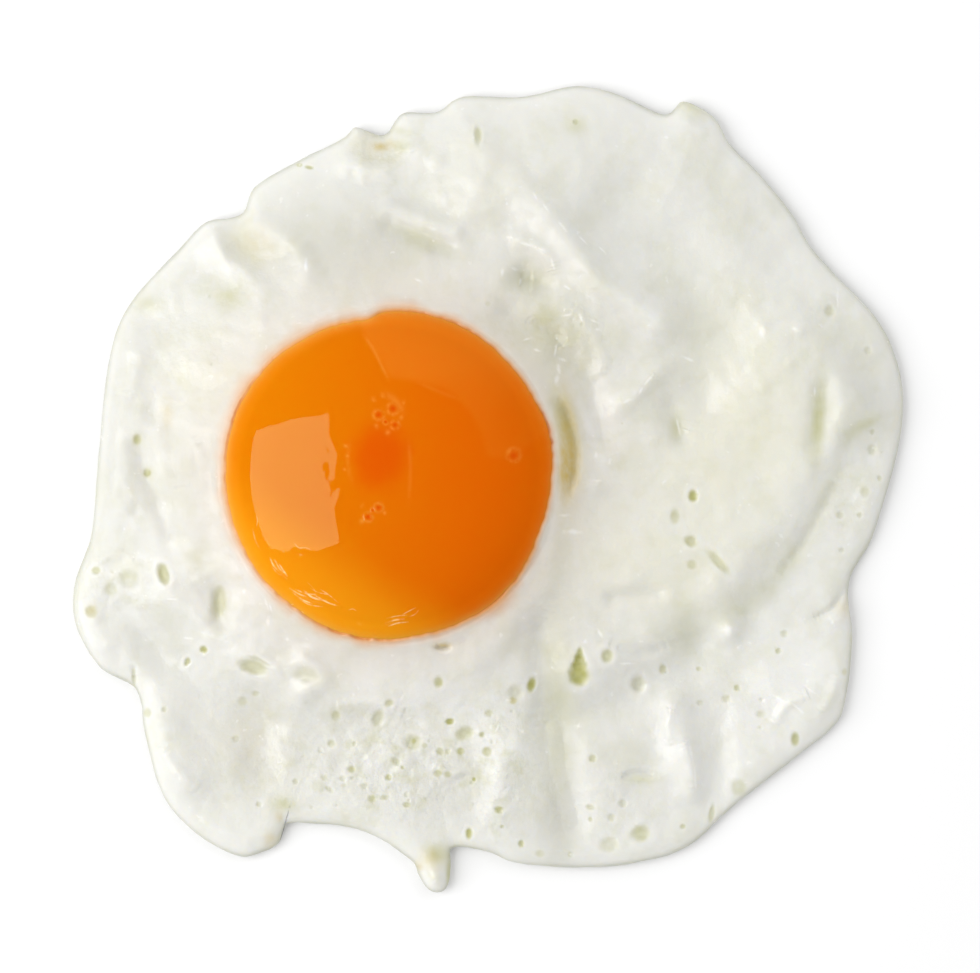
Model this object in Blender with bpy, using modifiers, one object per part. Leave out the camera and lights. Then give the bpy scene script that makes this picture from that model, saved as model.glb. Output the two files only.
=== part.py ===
"""Fried egg, sunny side up: a set white with a lobed rim, and the domed yolk that sits in its pocket.

Sizes are in millimetres and become metres as each mesh is finished. +Z is up, the egg lies on z = 0,
and the origin is under the middle of its outline. X and Y follow the egg seen from above.
"""

import math

import bmesh
import bpy
import numpy as np

MM = 0.001

# The yolk, a flattened ball whose widest level lies under the lip of the white
YOLK_CENTRE = np.array([-12.6, 1.9])
YOLK_RADIUS = 21.3
YOLK_TOP = 17.0
YOLK_BOTTOM = 1.7
YOLK_WIDEST_LEVEL = 7.5
YOLK_UNDERSIDE_FULLNESS = 0.8

# The pocket in the white that holds the yolk, and the feathered lip that laps over the yolk
POCKET_GAP = 0.5
POCKET_FLOOR_LEVEL = 1.45
LIP_LEVEL = 8.9
LIP_THICKNESS = 0.5
COLLAR_RUN = 5.0

# The open crevice where the white has drawn back from the yolk
CREVICE_BEARING = 8
CREVICE_HALF_ANGLE = 20
CREVICE_WIDTH = 3.0
CREVICE_TAPER = 1.5
CREVICE_FLOOR_LEVEL = 4.4
CREVICE_LIP_LEVEL = 6.7

# Levels of the white's upper surface and the round of its rim
THIN_LEVEL = 2.4
THICK_LEVEL = 5.1
LOWEST_LEVEL = 1.4
THICK_STEP_RUN = 4.0
THICK_RISE_RUN = 15.0
THICK_SHARE_AT_RIM = 0.06
EDGE_MIDDLE_LEVEL = 0.7
EDGE_TOP_RUN = 3.2
EDGE_UNDER_RUN = 1.0

# How finely the solid is divided
COLUMNS = 140
POCKET_RINGS = 8
POCKET_RING_CROWDING = 1.4
TOP_RINGS = 16
TOP_RING_CROWDING = 1.1
EDGE_RING_DISTANCES = (2.4, 1.1, 0.35)
BEND_CROWDING = 5.0
BEARING_SMOOTHING = 9
YOLK_STEPS = 64
YOLK_UPPER_RINGS = 10
YOLK_LOWER_RINGS = 8
BUBBLE_SEGMENTS = 12
BUBBLE_RINGS = 8
SPLINE_STEPS = 16

# The rim of the white, anticlockwise from the right-hand side, through lobes, notches and the drip
OUTLINE = (
    (53.9, 11.7), (52.8, 17.6), (49.9, 22.9), (42.8, 30.4), (39.4, 35.8), (35.3, 40.9), (31.7, 44.5),
    (29.3, 48.4), (25.4, 50.4), (22.8, 48.7), (17.1, 51.2), (11.6, 52.4), (4.1, 51.0), (-3.4, 51.0),
    (-6.7, 49.0), (-11.1, 48.8), (-13.5, 46.0), (-17.1, 47.1), (-18.9, 45.6), (-24.9, 42.5),
    (-30.2, 39.4), (-32.0, 35.8), (-36.6, 34.7), (-40.4, 30.9), (-45.3, 25.7), (-47.9, 21.5),
    (-49.2, 16.9), (-50.1, 9.8), (-50.8, 2.0), (-51.5, -5.9), (-53.6, -12.1), (-53.5, -17.6),
    (-50.5, -23.0), (-45.7, -26.0), (-44.5, -31.9), (-42.2, -39.7), (-37.9, -44.7), (-32.3, -47.6),
    (-28.9, -46.9), (-27.2, -45.9), (-26.4, -44.1), (-24.9, -43.3), (-16.7, -44.2), (-10.5, -47.6),
    (-8.9, -50.1), (-7.5, -51.9), (-6.1, -52.4), (-5.0, -51.0), (-4.8, -48.4), (-4.3, -46.5),
    (0.2, -47.1), (3.6, -48.5), (11.9, -49.1), (19.7, -48.4), (26.2, -46.2), (32.4, -40.7),
    (41.0, -34.0), (44.6, -31.0), (46.3, -28.0), (47.3, -19.5), (46.9, -12.0), (50.0, -5.9),
    (53.1, 4.6),
)

# The edge of the thick white, which runs past the rim where thick white reaches it
THICK_WHITE = (
    (47.0, 31.0), (43.6, 24.7), (46.5, 18.9), (51.8, 11.4), (49.3, 8.5), (46.5, 5.6), (43.6, -0.9),
    (39.4, -7.2), (33.0, -13.0), (28.2, -17.6), (21.6, -21.5), (13.2, -26.0), (7.0, -27.0),
    (-6.3, -26.0), (-14.0, -27.7), (-23.2, -27.3), (-32.3, -24.7), (-38.8, -20.5), (-44.0, -15.3),
    (-48.5, -13.0), (-58.0, -10.0), (-58.0, 20.0), (-40.0, 45.0), (-10.0, 60.0), (30.0, 62.0),
)

# Ridges stand up and valleys go down: the line that each follows, its height or depth, its half width
RIDGES = {
    "upper sweep": (((4.1, 39.0), (9.3, 33.2), (14.5, 27.0), (21.6, 21.8)), 1.2, 2.6),
    "upper hump": (((-2.5, 44.5), (-1.1, 38.0)), 0.9, 4.0),
    "north fold": (((-12.8, 36.1), (-4.4, 33.0)), 1.0, 1.5),
    "north-west flap": (((-29.9, 34.8), (-24.5, 31.2), (-23.6, 27.6)), 1.1, 2.0),
    "north-west crease": (((-36.2, 34.0), (-34.0, 29.5), (-29.0, 25.5)), 0.7, 1.5),
    "rim lens": (((-17.9, 41.6), (-13.6, 40.8)), 0.8, 1.6),
    "west hump": (((-45.5, 17.5), (-46.0, 8.5), (-47.5, -2.0)), 0.9, 3.2),
    "east lip of the slot": (((45.5, 14.0), (46.2, 10.0), (44.0, 5.0)), 0.9, 1.3),
    "east knob": (((48.0, 12.0), (49.0, 9.5)), 0.8, 2.6),
    "crumple": (((17.0, 11.0), (22.0, 15.3)), 0.9, 1.3),
    "small hump": (((31.0, -18.6), (31.4, -18.2)), 1.0, 1.9),
    "south stream": (((7.0, -11.5), (-1.5, -21.5)), 1.3, 2.2),
    "south ridge": (((23.7, -28.0), (25.0, -33.5), (26.2, -38.5)), 1.0, 2.0),
    "south-east swell": (((36.0, -25.0), (42.0, -28.0)), 0.6, 2.6),
    "south-west swell": (((-42.5, -30.5), (-39.0, -37.0)), 0.9, 3.4),
    "froth bank": (((2.0, -32.0), (1.6, -41.0)), 0.8, 2.3),
    "crater bank": (((-23.5, -21.5), (-21.0, -24.5), (-24.0, -26.5)), 0.9, 1.5),
}
VALLEYS = {
    "great hollow": (((18.0, 37.0), (25.5, 30.0), (29.5, 21.0), (26.5, 11.0)), 1.9, 5.0),
    "yolk-side valley": (((2.5, 22.3), (7.5, 18.8), (12.6, 13.0), (13.7, 7.0)), 2.2, 2.2),
    "cavity under the flap": (((4.9, 27.4), (6.5, 26.6)), 1.4, 2.0),
    "north groove": (((-12.5, 34.2), (-5.0, 31.2)), 1.0, 1.2),
    "north groove, outer side": (((-8.5, 37.0), (-2.0, 32.3)), 0.9, 1.7),
    "north-west dent": (((-32.6, 32.4), (-30.0, 29.0)), 1.7, 2.2),
    "east slot": (((43.0, 13.5), (42.0, 4.5)), 1.3, 1.1),
    "crumple slot": (((23.6, 10.5), (24.7, 7.0)), 1.1, 1.2),
    "south-east dent": (((26.2, -13.0), (26.8, -19.0)), 1.6, 2.8),
    "east groove": (((16.1, -13.8), (21.6, -13.4)), 0.8, 1.0),
    "south fold": (((7.0, -18.5), (8.2, -27.0), (9.0, -36.0), (10.6, -43.0)), 1.2, 2.5),
    "south-east trough": (((29.0, -29.0), (29.2, -40.0)), 0.8, 2.6),
    "south-west trough": (((-29.8, -27.5), (-29.5, -36.0)), 0.8, 2.8),
    "west dimples": (((-45.0, 5.5), (-43.5, 1.0), (-41.0, -5.0)), 0.7, 1.6),
    "south-west dimple": (((-34.6, -13.0), (-34.4, -16.5)), 1.1, 1.5),
}

# Burst bubbles, cut from the surface: middle, half length, half width, bearing in degrees, depth
BUBBLES = (
    ((11.6, -23.2), 2.2, 1.5, 90, 2.0),
    ((-30.2, -22.5), 2.0, 1.2, -15, 1.6),
    ((29.7, -9.2), 1.9, 0.9, -50, 1.3),
    ((26.3, -0.9), 0.8, 0.7, 0, 1.2),
    ((-41.6, -10.8), 1.1, 0.8, -60, 1.4),
    ((-36.5, -20.5), 0.8, 0.7, 0, 1.1),
    ((19.7, -44.5), 1.4, 1.2, 0, 1.0),
    ((19.3, -25.1), 1.1, 0.9, 90, 1.0),
    ((15.3, -21.4), 0.9, 0.8, 0, 1.0),
    ((-9.9, -32.6), 1.2, 1.0, -30, 1.1),
    ((-3.2, -31.5), 1.2, 0.7, 40, 1.0),
    ((49.7, 5.2), 0.8, 0.7, 0, 1.0),
)

WHITE_COLOUR = (0.83, 0.82, 0.75, 1.0)
WHITE_ROUGHNESS = 0.3
YOLK_COLOUR = (0.83, 0.18, 0.006, 1.0)
YOLK_ROUGHNESS = 0.12


def closed_spline(points):
    """Points along a closed Catmull-Rom curve through the given points."""
    knots = np.array(points, float)
    before, after, beyond = (np.roll(knots, n, axis=0) for n in (1, -1, -2))
    spans = []
    for t in np.arange(SPLINE_STEPS) / SPLINE_STEPS:
        spans.append(0.5 * (2 * knots + (after - before) * t
                            + (2 * before - 5 * knots + 4 * after - beyond) * t ** 2
                            + (3 * knots - before - 3 * after + beyond) * t ** 3))
    return np.stack(spans, axis=1).reshape(-1, 2)


def spaced_along(loop, count):
    """Points at equal steps along the loop, crowded where it bends, as round the drip."""
    sides = np.roll(loop, -1, axis=0) - loop
    headings = np.arctan2(sides[:, 1], sides[:, 0])
    bends = np.abs((np.roll(headings, -1) - headings + math.pi) % math.tau - math.pi)
    steps = np.hypot(*sides.T) + BEND_CROWDING * (bends + np.roll(bends, 1)) / 2
    travelled = np.concatenate([[0], np.cumsum(steps)])
    closed = np.vstack([loop, loop[:1]])
    wanted = np.arange(count) / count * travelled[-1]
    return np.stack([np.interp(wanted, travelled, closed[:, i]) for i in (0, 1)], axis=1)


def distance_to_line(points, start, end):
    along = end - start
    share = ((points - start) @ along) / max(along @ along, 1e-9)
    nearest = start + np.clip(share, 0, 1)[:, None] * along
    return np.hypot(*(points - nearest).T)


def depth_inside(points, loop):
    """Distance of each point to a closed loop, positive inside it and negative outside."""
    distance = np.full(len(points), np.inf)
    inside = np.zeros(len(points), bool)
    for start, end in zip(loop, np.roll(loop, -1, axis=0)):
        distance = np.minimum(distance, distance_to_line(points, start, end))
        crosses = (start[1] > points[:, 1]) != (end[1] > points[:, 1])
        if crosses.any():
            where = start[0] + (points[:, 1] - start[1]) * (end[0] - start[0]) / (end[1] - start[1])
            inside ^= crosses & (points[:, 0] < where)
    return np.where(inside, distance, -distance)


def smooth_step(share):
    share = np.clip(share, 0, 1)
    return share * share * (3 - 2 * share)


def rounded(share):
    """A quarter circle: 0 at an edge, 1 and level from share 1 on."""
    return np.sqrt(1 - (1 - np.clip(share, 0, 1)) ** 2)


def bearing_and_radius(points):
    east, north = (points - YOLK_CENTRE).T
    return np.degrees(np.arctan2(north, east)), np.hypot(east, north)


def crevice(bearing):
    """How far the white has drawn back from the yolk, as a share of the crevice's width."""
    off = np.clip((bearing - CREVICE_BEARING) / CREVICE_HALF_ANGLE, -1, 1)
    return np.cos(off * math.pi / 2) ** CREVICE_TAPER


def yolk_reach(level, clearance=0.0):
    """Radius of the yolk's skin at a level, or of a skin that stands clear of it."""
    above = level >= YOLK_WIDEST_LEVEL
    height = np.where(above, YOLK_TOP - YOLK_WIDEST_LEVEL, YOLK_WIDEST_LEVEL - YOLK_BOTTOM) + clearance
    share = np.clip(np.abs(level - YOLK_WIDEST_LEVEL) / height, 0, 1)
    fullness = np.where(above, 1, YOLK_UNDERSIDE_FULLNESS)
    return (YOLK_RADIUS + clearance) * (1 - share ** (2 / fullness)) ** (fullness / 2)


def lip_level(bearing):
    return LIP_LEVEL + (CREVICE_LIP_LEVEL - LIP_LEVEL) * crevice(bearing)


def pocket_reach(bearing, level):
    """Radius of the pocket's wall, which follows the yolk and opens outwards in the crevice."""
    climb = (level - CREVICE_FLOOR_LEVEL) / (lip_level(bearing) - LIP_THICKNESS - CREVICE_FLOOR_LEVEL)
    return yolk_reach(level, POCKET_GAP) + CREVICE_WIDTH * crevice(bearing) * smooth_step(climb)


def lip_reach(bearing):
    return pocket_reach(bearing, lip_level(bearing) - LIP_THICKNESS)


def relief(points):
    """The ridges and valleys, as a height to add to the plain surface."""
    height = np.zeros(len(points))
    for features, sign in ((RIDGES, 1), (VALLEYS, -1)):
        for line, amount, half_width in features.values():
            ends = np.array(line, float)
            distance = np.full(len(points), np.inf)
            for start, end in zip(ends, ends[1:]):
                distance = np.minimum(distance, distance_to_line(points, start, end))
            height += sign * amount * np.exp(-(distance / half_width) ** 2)
    return height


RIM = closed_spline(OUTLINE)
THICK_EDGE = closed_spline(THICK_WHITE)


def top_level(points):
    """Level of the white's upper surface at each point inside the rim."""
    rim = np.maximum(depth_inside(points, RIM), 0)
    thick = smooth_step(depth_inside(points, THICK_EDGE) / THICK_STEP_RUN + 0.5)
    thick = thick * (THICK_SHARE_AT_RIM + (1 - THICK_SHARE_AT_RIM) * smooth_step(rim / THICK_RISE_RUN))
    level = THIN_LEVEL + (THICK_LEVEL - THIN_LEVEL) * thick
    level = np.maximum(level + relief(points), LOWEST_LEVEL)
    bearing, radius = bearing_and_radius(points)
    climb = np.exp(-np.maximum(radius - lip_reach(bearing), 0) / COLLAR_RUN)
    level = level + (lip_level(bearing) - level) * climb
    return EDGE_MIDDLE_LEVEL + (level - EDGE_MIDDLE_LEVEL) * rounded(rim / EDGE_TOP_RUN)


def under_level(distance):
    return EDGE_MIDDLE_LEVEL * (1 - rounded(distance / EDGE_UNDER_RUN))


def spoke_bearings(rim):
    """Bearings of the rim's points from the yolk, smoothed so that they keep rising past a notch."""
    turns = np.unwrap(np.radians(bearing_and_radius(rim)[0]))
    drift = turns - turns[0] - np.arange(len(rim)) / len(rim) * math.tau
    wrapped = np.concatenate([drift[-BEARING_SMOOTHING:], drift, drift[:BEARING_SMOOTHING]])
    window = np.hanning(2 * BEARING_SMOOTHING + 1)
    smooth = np.convolve(wrapped, window / window.sum(), mode="valid")
    bearing = np.degrees(turns[0] + np.arange(len(rim)) / len(rim) * math.tau + smooth)
    return (bearing + 180) % 360 - 180


def white_rings():
    """The white's rings of points, from the pocket's floor up over the lip and out round the rim."""
    rim = spaced_along(RIM, COLUMNS)
    bearing = spoke_bearings(rim)
    spokes = np.stack([np.cos(np.radians(bearing)), np.sin(np.radians(bearing))], axis=1)
    lip = YOLK_CENTRE + spokes * lip_reach(bearing)[:, None]
    reach = np.hypot(*(rim - lip).T)
    rings = []
    for share in np.linspace(0, 1, POCKET_RINGS) ** POCKET_RING_CROWDING:
        level = POCKET_FLOOR_LEVEL + (lip_level(bearing) - LIP_THICKNESS - POCKET_FLOOR_LEVEL) * share
        rings.append((YOLK_CENTRE + spokes * pocket_reach(bearing, level)[:, None], level))
    shares = np.linspace(0, 1, TOP_RINGS + 1)[:-1] ** TOP_RING_CROWDING
    inner = reach - EDGE_RING_DISTANCES[0]
    distances = [reach - inner * share for share in shares]
    distances += [np.full(COLUMNS, distance) for distance in EDGE_RING_DISTANCES]
    for distance in distances:
        places = rim - (rim - lip) * (distance / reach)[:, None]
        rings.append((places, top_level(places)))
    for distance in (0, EDGE_UNDER_RUN / 3, EDGE_UNDER_RUN):
        places = rim - (rim - lip) * (distance / reach)[:, None]
        rings.append((places, np.full(COLUMNS, under_level(distance))))
    return [np.column_stack([places, np.broadcast_to(level, COLUMNS)]) for places, level in rings]


def bake_to_metres(bm, name, collection, colour, roughness):
    """Turns a bmesh in millimetres into an object in metres, with its own material."""
    bmesh.ops.scale(bm, vec=(MM, MM, MM), verts=bm.verts)
    mesh = bpy.data.meshes.new(name)
    bm.to_mesh(mesh)
    bm.free()
    obj = bpy.data.objects.new(name, mesh)
    collection.objects.link(obj)
    material = bpy.data.materials.new(name)
    material.use_nodes = True
    shader = material.node_tree.nodes["Principled BSDF"]
    shader.inputs["Base Color"].default_value = colour
    shader.inputs["Roughness"].default_value = roughness
    shader.inputs["Metallic"].default_value = 0.0
    mesh.materials.append(material)
    mesh.shade_smooth()
    return obj


def make_white(collection):
    """The white, extruded ring by ring, with its pocket's floor and its underside filled flat."""
    bm = bmesh.new()
    column = bm.verts.layers.int.new("column")
    rings = white_rings()
    first = bmesh.ops.create_circle(bm, segments=COLUMNS, radius=YOLK_RADIUS, cap_ends=False)
    for i, vert in enumerate(first["verts"]):
        vert[column] = i
    vertices, edges = first["verts"], list(bm.edges)
    for i, ring in enumerate(rings):
        if i:
            made = bmesh.ops.extrude_edge_only(bm, edges=edges)["geom"]
            vertices = [part for part in made if isinstance(part, bmesh.types.BMVert)]
            edges = [part for part in made if isinstance(part, bmesh.types.BMEdge) and part.is_boundary]
        for vert in vertices:
            vert.co = ring[vert[column]]
    bmesh.ops.holes_fill(bm, edges=bm.edges, sides=0)
    bmesh.ops.recalc_face_normals(bm, faces=bm.faces)
    return bake_to_metres(bm, "egg_white", collection, WHITE_COLOUR, WHITE_ROUGHNESS)


def cut_bubbles(white, collection):
    """Burst bubbles, as small ellipsoids taken out of the white's upper surface."""
    middles = np.array([middle for middle, *_ in BUBBLES], float)
    for i, (level, bubble) in enumerate(zip(top_level(middles), BUBBLES)):
        middle, half_length, half_width, bearing, depth = bubble
        bm = bmesh.new()
        bmesh.ops.create_uvsphere(bm, u_segments=BUBBLE_SEGMENTS, v_segments=BUBBLE_RINGS, radius=1)
        size = np.array([half_length, half_width, depth]) * MM
        bmesh.ops.scale(bm, vec=size, verts=bm.verts)
        mesh = bpy.data.meshes.new(f"bubble_cutter_{i + 1}")
        bm.to_mesh(mesh)
        bm.free()
        cutter = bpy.data.objects.new(mesh.name, mesh)
        cutter.location = (middle[0] * MM, middle[1] * MM, level * MM)
        cutter.rotation_euler.z = math.radians(bearing)
        cutter.hide_render = True
        cutter.display_type = "WIRE"
        collection.objects.link(cutter)
    cut = white.modifiers.new("burst bubbles", "BOOLEAN")
    cut.operation = "DIFFERENCE"
    cut.operand_type = "COLLECTION"
    cut.collection = collection
    cut.solver = "EXACT"


def make_yolk(collection):
    """The yolk, a turned profile that runs down from its crown to its flattened underside."""
    bm = bmesh.new()
    quarter = math.pi / 2
    crown = np.cos(np.linspace(0, quarter, YOLK_UPPER_RINGS)) * (YOLK_TOP - YOLK_WIDEST_LEVEL)
    underside = np.sin(np.linspace(0, quarter, YOLK_LOWER_RINGS)) * (YOLK_BOTTOM - YOLK_WIDEST_LEVEL)
    levels = YOLK_WIDEST_LEVEL + np.concatenate([crown, underside[1:]])
    profile = [bm.verts.new((reach, 0, level)) for reach, level in zip(yolk_reach(levels), levels)]
    for upper, lower in zip(profile, profile[1:]):
        bm.edges.new((upper, lower))
    yolk = bake_to_metres(bm, "yolk", collection, YOLK_COLOUR, YOLK_ROUGHNESS)
    yolk.location = (YOLK_CENTRE[0] * MM, YOLK_CENTRE[1] * MM, 0)
    turn = yolk.modifiers.new("turned", "SCREW")
    turn.steps = turn.render_steps = YOLK_STEPS
    turn.use_merge_vertices = True
    turn.merge_threshold = 0.00001


def make_collection(name):
    collection = bpy.data.collections.new(name)
    bpy.context.scene.collection.children.link(collection)
    return collection


def main():
    for obj in list(bpy.data.objects):
        bpy.data.objects.remove(obj)
    egg = make_collection("fried egg")
    cutters = make_collection("cutters")
    white = make_white(egg)
    cut_bubbles(white, cutters)
    make_yolk(egg)


main()
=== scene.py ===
"""Fried egg, sunny side up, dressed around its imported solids.

The white and the yolk are modelled again at full detail in the places of their solids: folds, burst
bubbles, froth and the film that laps over the yolk. Meshes are worked in millimetres and become metres
as each one is finished. +Z is up and the egg lies on z = 0.
"""

import math

import bmesh
import bpy
import numpy as np
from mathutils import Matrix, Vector, kdtree, noise


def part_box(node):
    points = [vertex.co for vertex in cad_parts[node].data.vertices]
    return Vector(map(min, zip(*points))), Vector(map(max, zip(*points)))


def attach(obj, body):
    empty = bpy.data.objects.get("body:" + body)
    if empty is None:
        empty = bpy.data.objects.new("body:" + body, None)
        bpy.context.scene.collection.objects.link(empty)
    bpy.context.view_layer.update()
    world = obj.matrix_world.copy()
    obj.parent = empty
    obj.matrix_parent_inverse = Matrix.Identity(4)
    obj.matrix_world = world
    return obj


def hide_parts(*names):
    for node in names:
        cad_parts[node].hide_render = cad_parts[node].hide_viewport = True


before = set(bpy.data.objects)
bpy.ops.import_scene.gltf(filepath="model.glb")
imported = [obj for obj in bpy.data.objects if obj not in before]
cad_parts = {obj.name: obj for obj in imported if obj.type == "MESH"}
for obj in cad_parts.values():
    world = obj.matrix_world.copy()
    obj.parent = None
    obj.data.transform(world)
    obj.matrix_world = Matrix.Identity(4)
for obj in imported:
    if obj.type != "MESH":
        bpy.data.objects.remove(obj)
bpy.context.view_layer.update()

bl_info = {
    "name": "Fried Egg",
    "version": (1, 0, 0),
    "blender": (4, 5, 0),
    "location": "View3D > Sidebar > Fried Egg",
    "description": "Models a fried egg's white and yolk, and the light that it is seen in",
    "category": "Add Mesh",
}

MM = 0.001

# The plan view that the small features are plotted on: its step in mm, its size in steps, and the egg's
# origin on it. X runs to the right and Y down the sheet.
PLAN_STEP = 0.13
PLAN_SIZE = np.array([980, 973])
PLAN_ORIGIN = np.array([488.0, 489.5])

# The yolk's place comes from its solid; its widest level in mm and the fullness of its underside are the
# same as there
YOLK_LOW, YOLK_HIGH = (np.array(corner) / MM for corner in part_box("yolk"))
YOLK_CENTRE = ((YOLK_LOW + YOLK_HIGH) / 2)[:2]
YOLK_RADIUS = float(YOLK_HIGH[0] - YOLK_LOW[0]) / 2
YOLK_BOTTOM, YOLK_TOP = float(YOLK_LOW[2]), float(YOLK_HIGH[2])
YOLK_WIDEST_LEVEL = 7.5
YOLK_UNDERSIDE_FULLNESS = 0.8

# The white's levels and runs in mm, as in its solid, but for the pocket, which is tighter. A run is the
# distance in which one level passes into another.
POCKET_GAP = 0.12
POCKET_FLOOR_LEVEL = 1.45
LOWEST_LEVEL = 1.4
THICK_STEP_RUN = 8.0
THICK_RISE_RUN = 15.0
THICK_SHARE_AT_RIM = 0.06
EDGE_MIDDLE_LEVEL = 0.7
EDGE_TOP_RUN = 3.2
EDGE_UNDER_RUN = 1.0
COLLAR_RUN = 5.0
CALM_RUN = 1.5
LIP_RADIUS = YOLK_RADIUS + 0.5

# The film of white that laps over the yolk's edge: its thickness, how steeply it rises from the yolk, the
# fillet between it and the collar, how deep its hidden start lies in the yolk, the run in which it parts
# from the yolk, the radius at which it ends, and its rings' distances from the seam, all in mm
FILM_THICKNESS = 0.3
FILM_RISE = 0.7
FILM_FILLET = 1.2
FILM_ROOT = -0.5
FILM_PARTING_RUN = 0.4
FILM_END = LIP_RADIUS + 0.6
FILM_RING_OFFSETS = (-0.4, -0.14, 0.0, 0.1, 0.2, 0.32, 0.46, 0.62, 0.8, 1.0, 1.25, 1.55, 1.9)
SEAM_LIMIT = YOLK_RADIUS - 0.15

# Where the yolk's colour ends: bearing and radius in plan steps; how far out its painted glow, the yolk's
# light painted into the white's colour, reaches from there: bearing and distance in mm
YOLK_EDGE = (
    (0, 159), (5, 161), (12, 162.8), (20, 162), (28, 160.5), (40, 159.8), (50, 161), (62, 161.6),
    (71, 162), (82, 161.6), (90, 160.5), (94, 158.5), (97, 152.5), (102, 154), (112, 156),
    (122, 156.5), (130, 158.8), (140, 161), (150, 162), (160, 162.2), (170, 161.4), (180, 161),
    (190, 160.4), (205, 160), (220, 160.5), (230, 160), (236, 160), (242, 161.4), (250, 162.2),
    (260, 162.4), (270, 161.6), (280, 160), (290, 160.5), (300, 161.4), (310, 162), (320, 161.4),
    (330, 159), (340, 157.5), (350, 158.5),
)
GLOW_REACH = (
    (0, 0.45), (30, 0.5), (70, 0.8), (110, 1.2), (150, 1.1), (190, 0.95), (215, 0.7), (250, 1.0),
    (280, 0.7), (305, 1.2), (340, 0.5),
)

# Both tables are smoothed over these degrees each way, and the edge lies up to this much farther in, in mm
EDGE_SMOOTHING = 3
EDGE_UNEVENNESS = 0.2

# The painted glow's fall-off and unevenness, its weaker part that reaches farther, the blur of the yolk's
# edge, the reach of the milkier film, and the paler band on the yolk's own side, painted glow of light
# through the yolk's edge under its film of white; widths and reaches in mm
GLOW_POWER = 1.3
GLOW_WOBBLE = 0.35
FAR_GLOW_SHARE = 0.13
FAR_GLOW_REACH = 4.5
YOLK_EDGE_BLUR = 0.4
FILM_ZONE = 1.6
FRINGE_WIDTH = 0.4
FRINGE_SHARE = 0.6

# The thin white and the darker line along the rim, painted shade of its rounded edge, and how creamy the
# thin white is beside the thick
THIN_SHARE = 0.8
THIN_WIDTH = 3.0
PAINTED_RIM_SHADE_WIDTH = 0.42
CREAM_ON_THIN = 0.3

# Noises: the size of their lumps in mm, their octaves and their seeds
BROAD_LUMPS = (7.0, 3, 1.5)
FINE_LUMPS = (2.4, 2, 8.5)
FROTH_LUMPS = (1.5, 3, 4.5)
BUBBLE_LUMPS = (0.9, 1, 14.5)
GLINT_LUMPS = (0.6, 2, 17.5)
GLOW_LUMPS = (3.0, 2, 11.5)
EDGE_LUMPS = (1.7, 2, 19.5)
RIM_LUMPS = (2.2, 3, 2.5)
SKIN_WAVES = (6.0, 2, 6.5)
RAGGED_WAVES = (2.0, 2, 9.5)
GERM_LUMPS = (3.0, 2, 12.5)
RING_LUMPS = (0.45, 2, 13.5)
SKIN_GLINT_LUMPS = (0.5, 1, 16.5)
FINE_LUMP_HEIGHT = 0.06

# How far the rim's lumps are moved inwards, and how far out one may reach, as shares of their height
RIM_INSET = 0.4
RIM_OUTSET = 0.4

# Noises of the materials: the size of their lumps in mm, their detail and, where given, their roughness
CLOUD = (9.0, 2.0)
PATCHES = (4.0, 2.0)
GRAIN = (1.3, 1.5)
FINE_GRAIN = (0.55, 2.0)
FINE_MOTTLE = (2.6, 2.0)
BROAD_MOTTLE = (5.5, 3.0, 0.65)
PAINTED_SPARKLE = (0.9, 1.0)
YOLK_CLOUD = (11.0, 1.0)
SKIN_GRAIN = (1.1, 2.0)
FLOOR_CLOUD = (400.0, 3.0)

# How light passes into the white and the yolk, the white's wet coat, and the bumps' heights in mm
WHITE_DEPTH = {"Subsurface_Weight": 1.0, "Subsurface_Radius": (1.0, 0.9, 0.7), "Subsurface_Scale": 0.35 * MM}
WHITE_COAT = {"IOR": 1.4, "Coat_Roughness": 0.12, "Coat_IOR": 1.36}
YOLK_DEPTH = {"Subsurface_Weight": 0.5, "Subsurface_Radius": (1.0, 0.35, 0.1), "Subsurface_Scale": 1.2 * MM}
WHITE_BUMP = 0.1
YOLK_BUMP = 0.004

# The floor in mm, half its width and its level; the lights in metres, the softbox from the yolk's top
FLOOR_REACH = 3000
FLOOR_LEVEL = -0.05
SOFTBOX_OFFSET = (-0.43, -0.05, 0.42)
SOFTBOX_SIZE = (0.57, 0.55)
PANEL_PLACE = (0.46, 0.5, 0.45)
PANEL_SIZE = (1.1, 0.7)

# How far soft shapes are worked out, as shares of their half widths
PATCH_CUTOFF = 2.6
SWELL_CUTOFF = 3
BUBBLE_CUTOFF = 2.2
GLINT_CUTOFF = 2

# A vertex made between others is on the upper surface where they all are
ALL_UPPER = 0.99

# The meshes before their long edges are split: columns and rings, the rings' distances from the rim in mm,
# the underside's as shares of the way to the rim, how columns crowd at bends of the rim, and over how many
# columns their bearings are smoothed
COLUMNS = 256
TOP_RINGS = 44
POCKET_RINGS = 6
TOP_RING_CROWDING = 1.05
EDGE_RING_DISTANCES = (2.6, 1.9, 1.3, 0.85, 0.5, 0.25, 0.08)
UNDERSIDE_RINGS = (0.75, 0.4)
BEND_CROWDING = 5.0
BEARING_SMOOTHING = 16
YOLK_SEGMENTS = 256
YOLK_RINGS = 176

# Points for each knot of a closed and of an open curve; the share of its length in which a stroke rises to
# its full height, and the share of that rise that its very ends have
SPLINE_STEPS = 16
STROKE_STEPS = 5
STROKE_TAPER = 0.3
STROKE_END = 0.15

# How often the long edges are split, and the lengths in mm that an edge may keep: on plain ground, in froth,
# along a stroke, in a bubble, at the film and in a glint, then on the yolk. The froth's length is reached
# sooner than its full strength, and a bubble's grows with each plan step of its half width.
SPLIT_PASSES = 3
PLAIN_EDGE = 0.56
FROTH_EDGE = 0.4
STROKE_EDGE = 0.36
BUBBLE_EDGE = 0.22
FILM_EDGE = 0.36
GLINT_EDGE = 0.2
PLAIN_SKIN_EDGE = 1.0
SKIN_BUBBLE_EDGE = 0.16
SKIN_GLINT_EDGE = 0.1
SHEEN_EDGE = 0.25
FROTH_FINENESS = 1.6
BUBBLE_EDGE_GROWTH = 0.012
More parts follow.
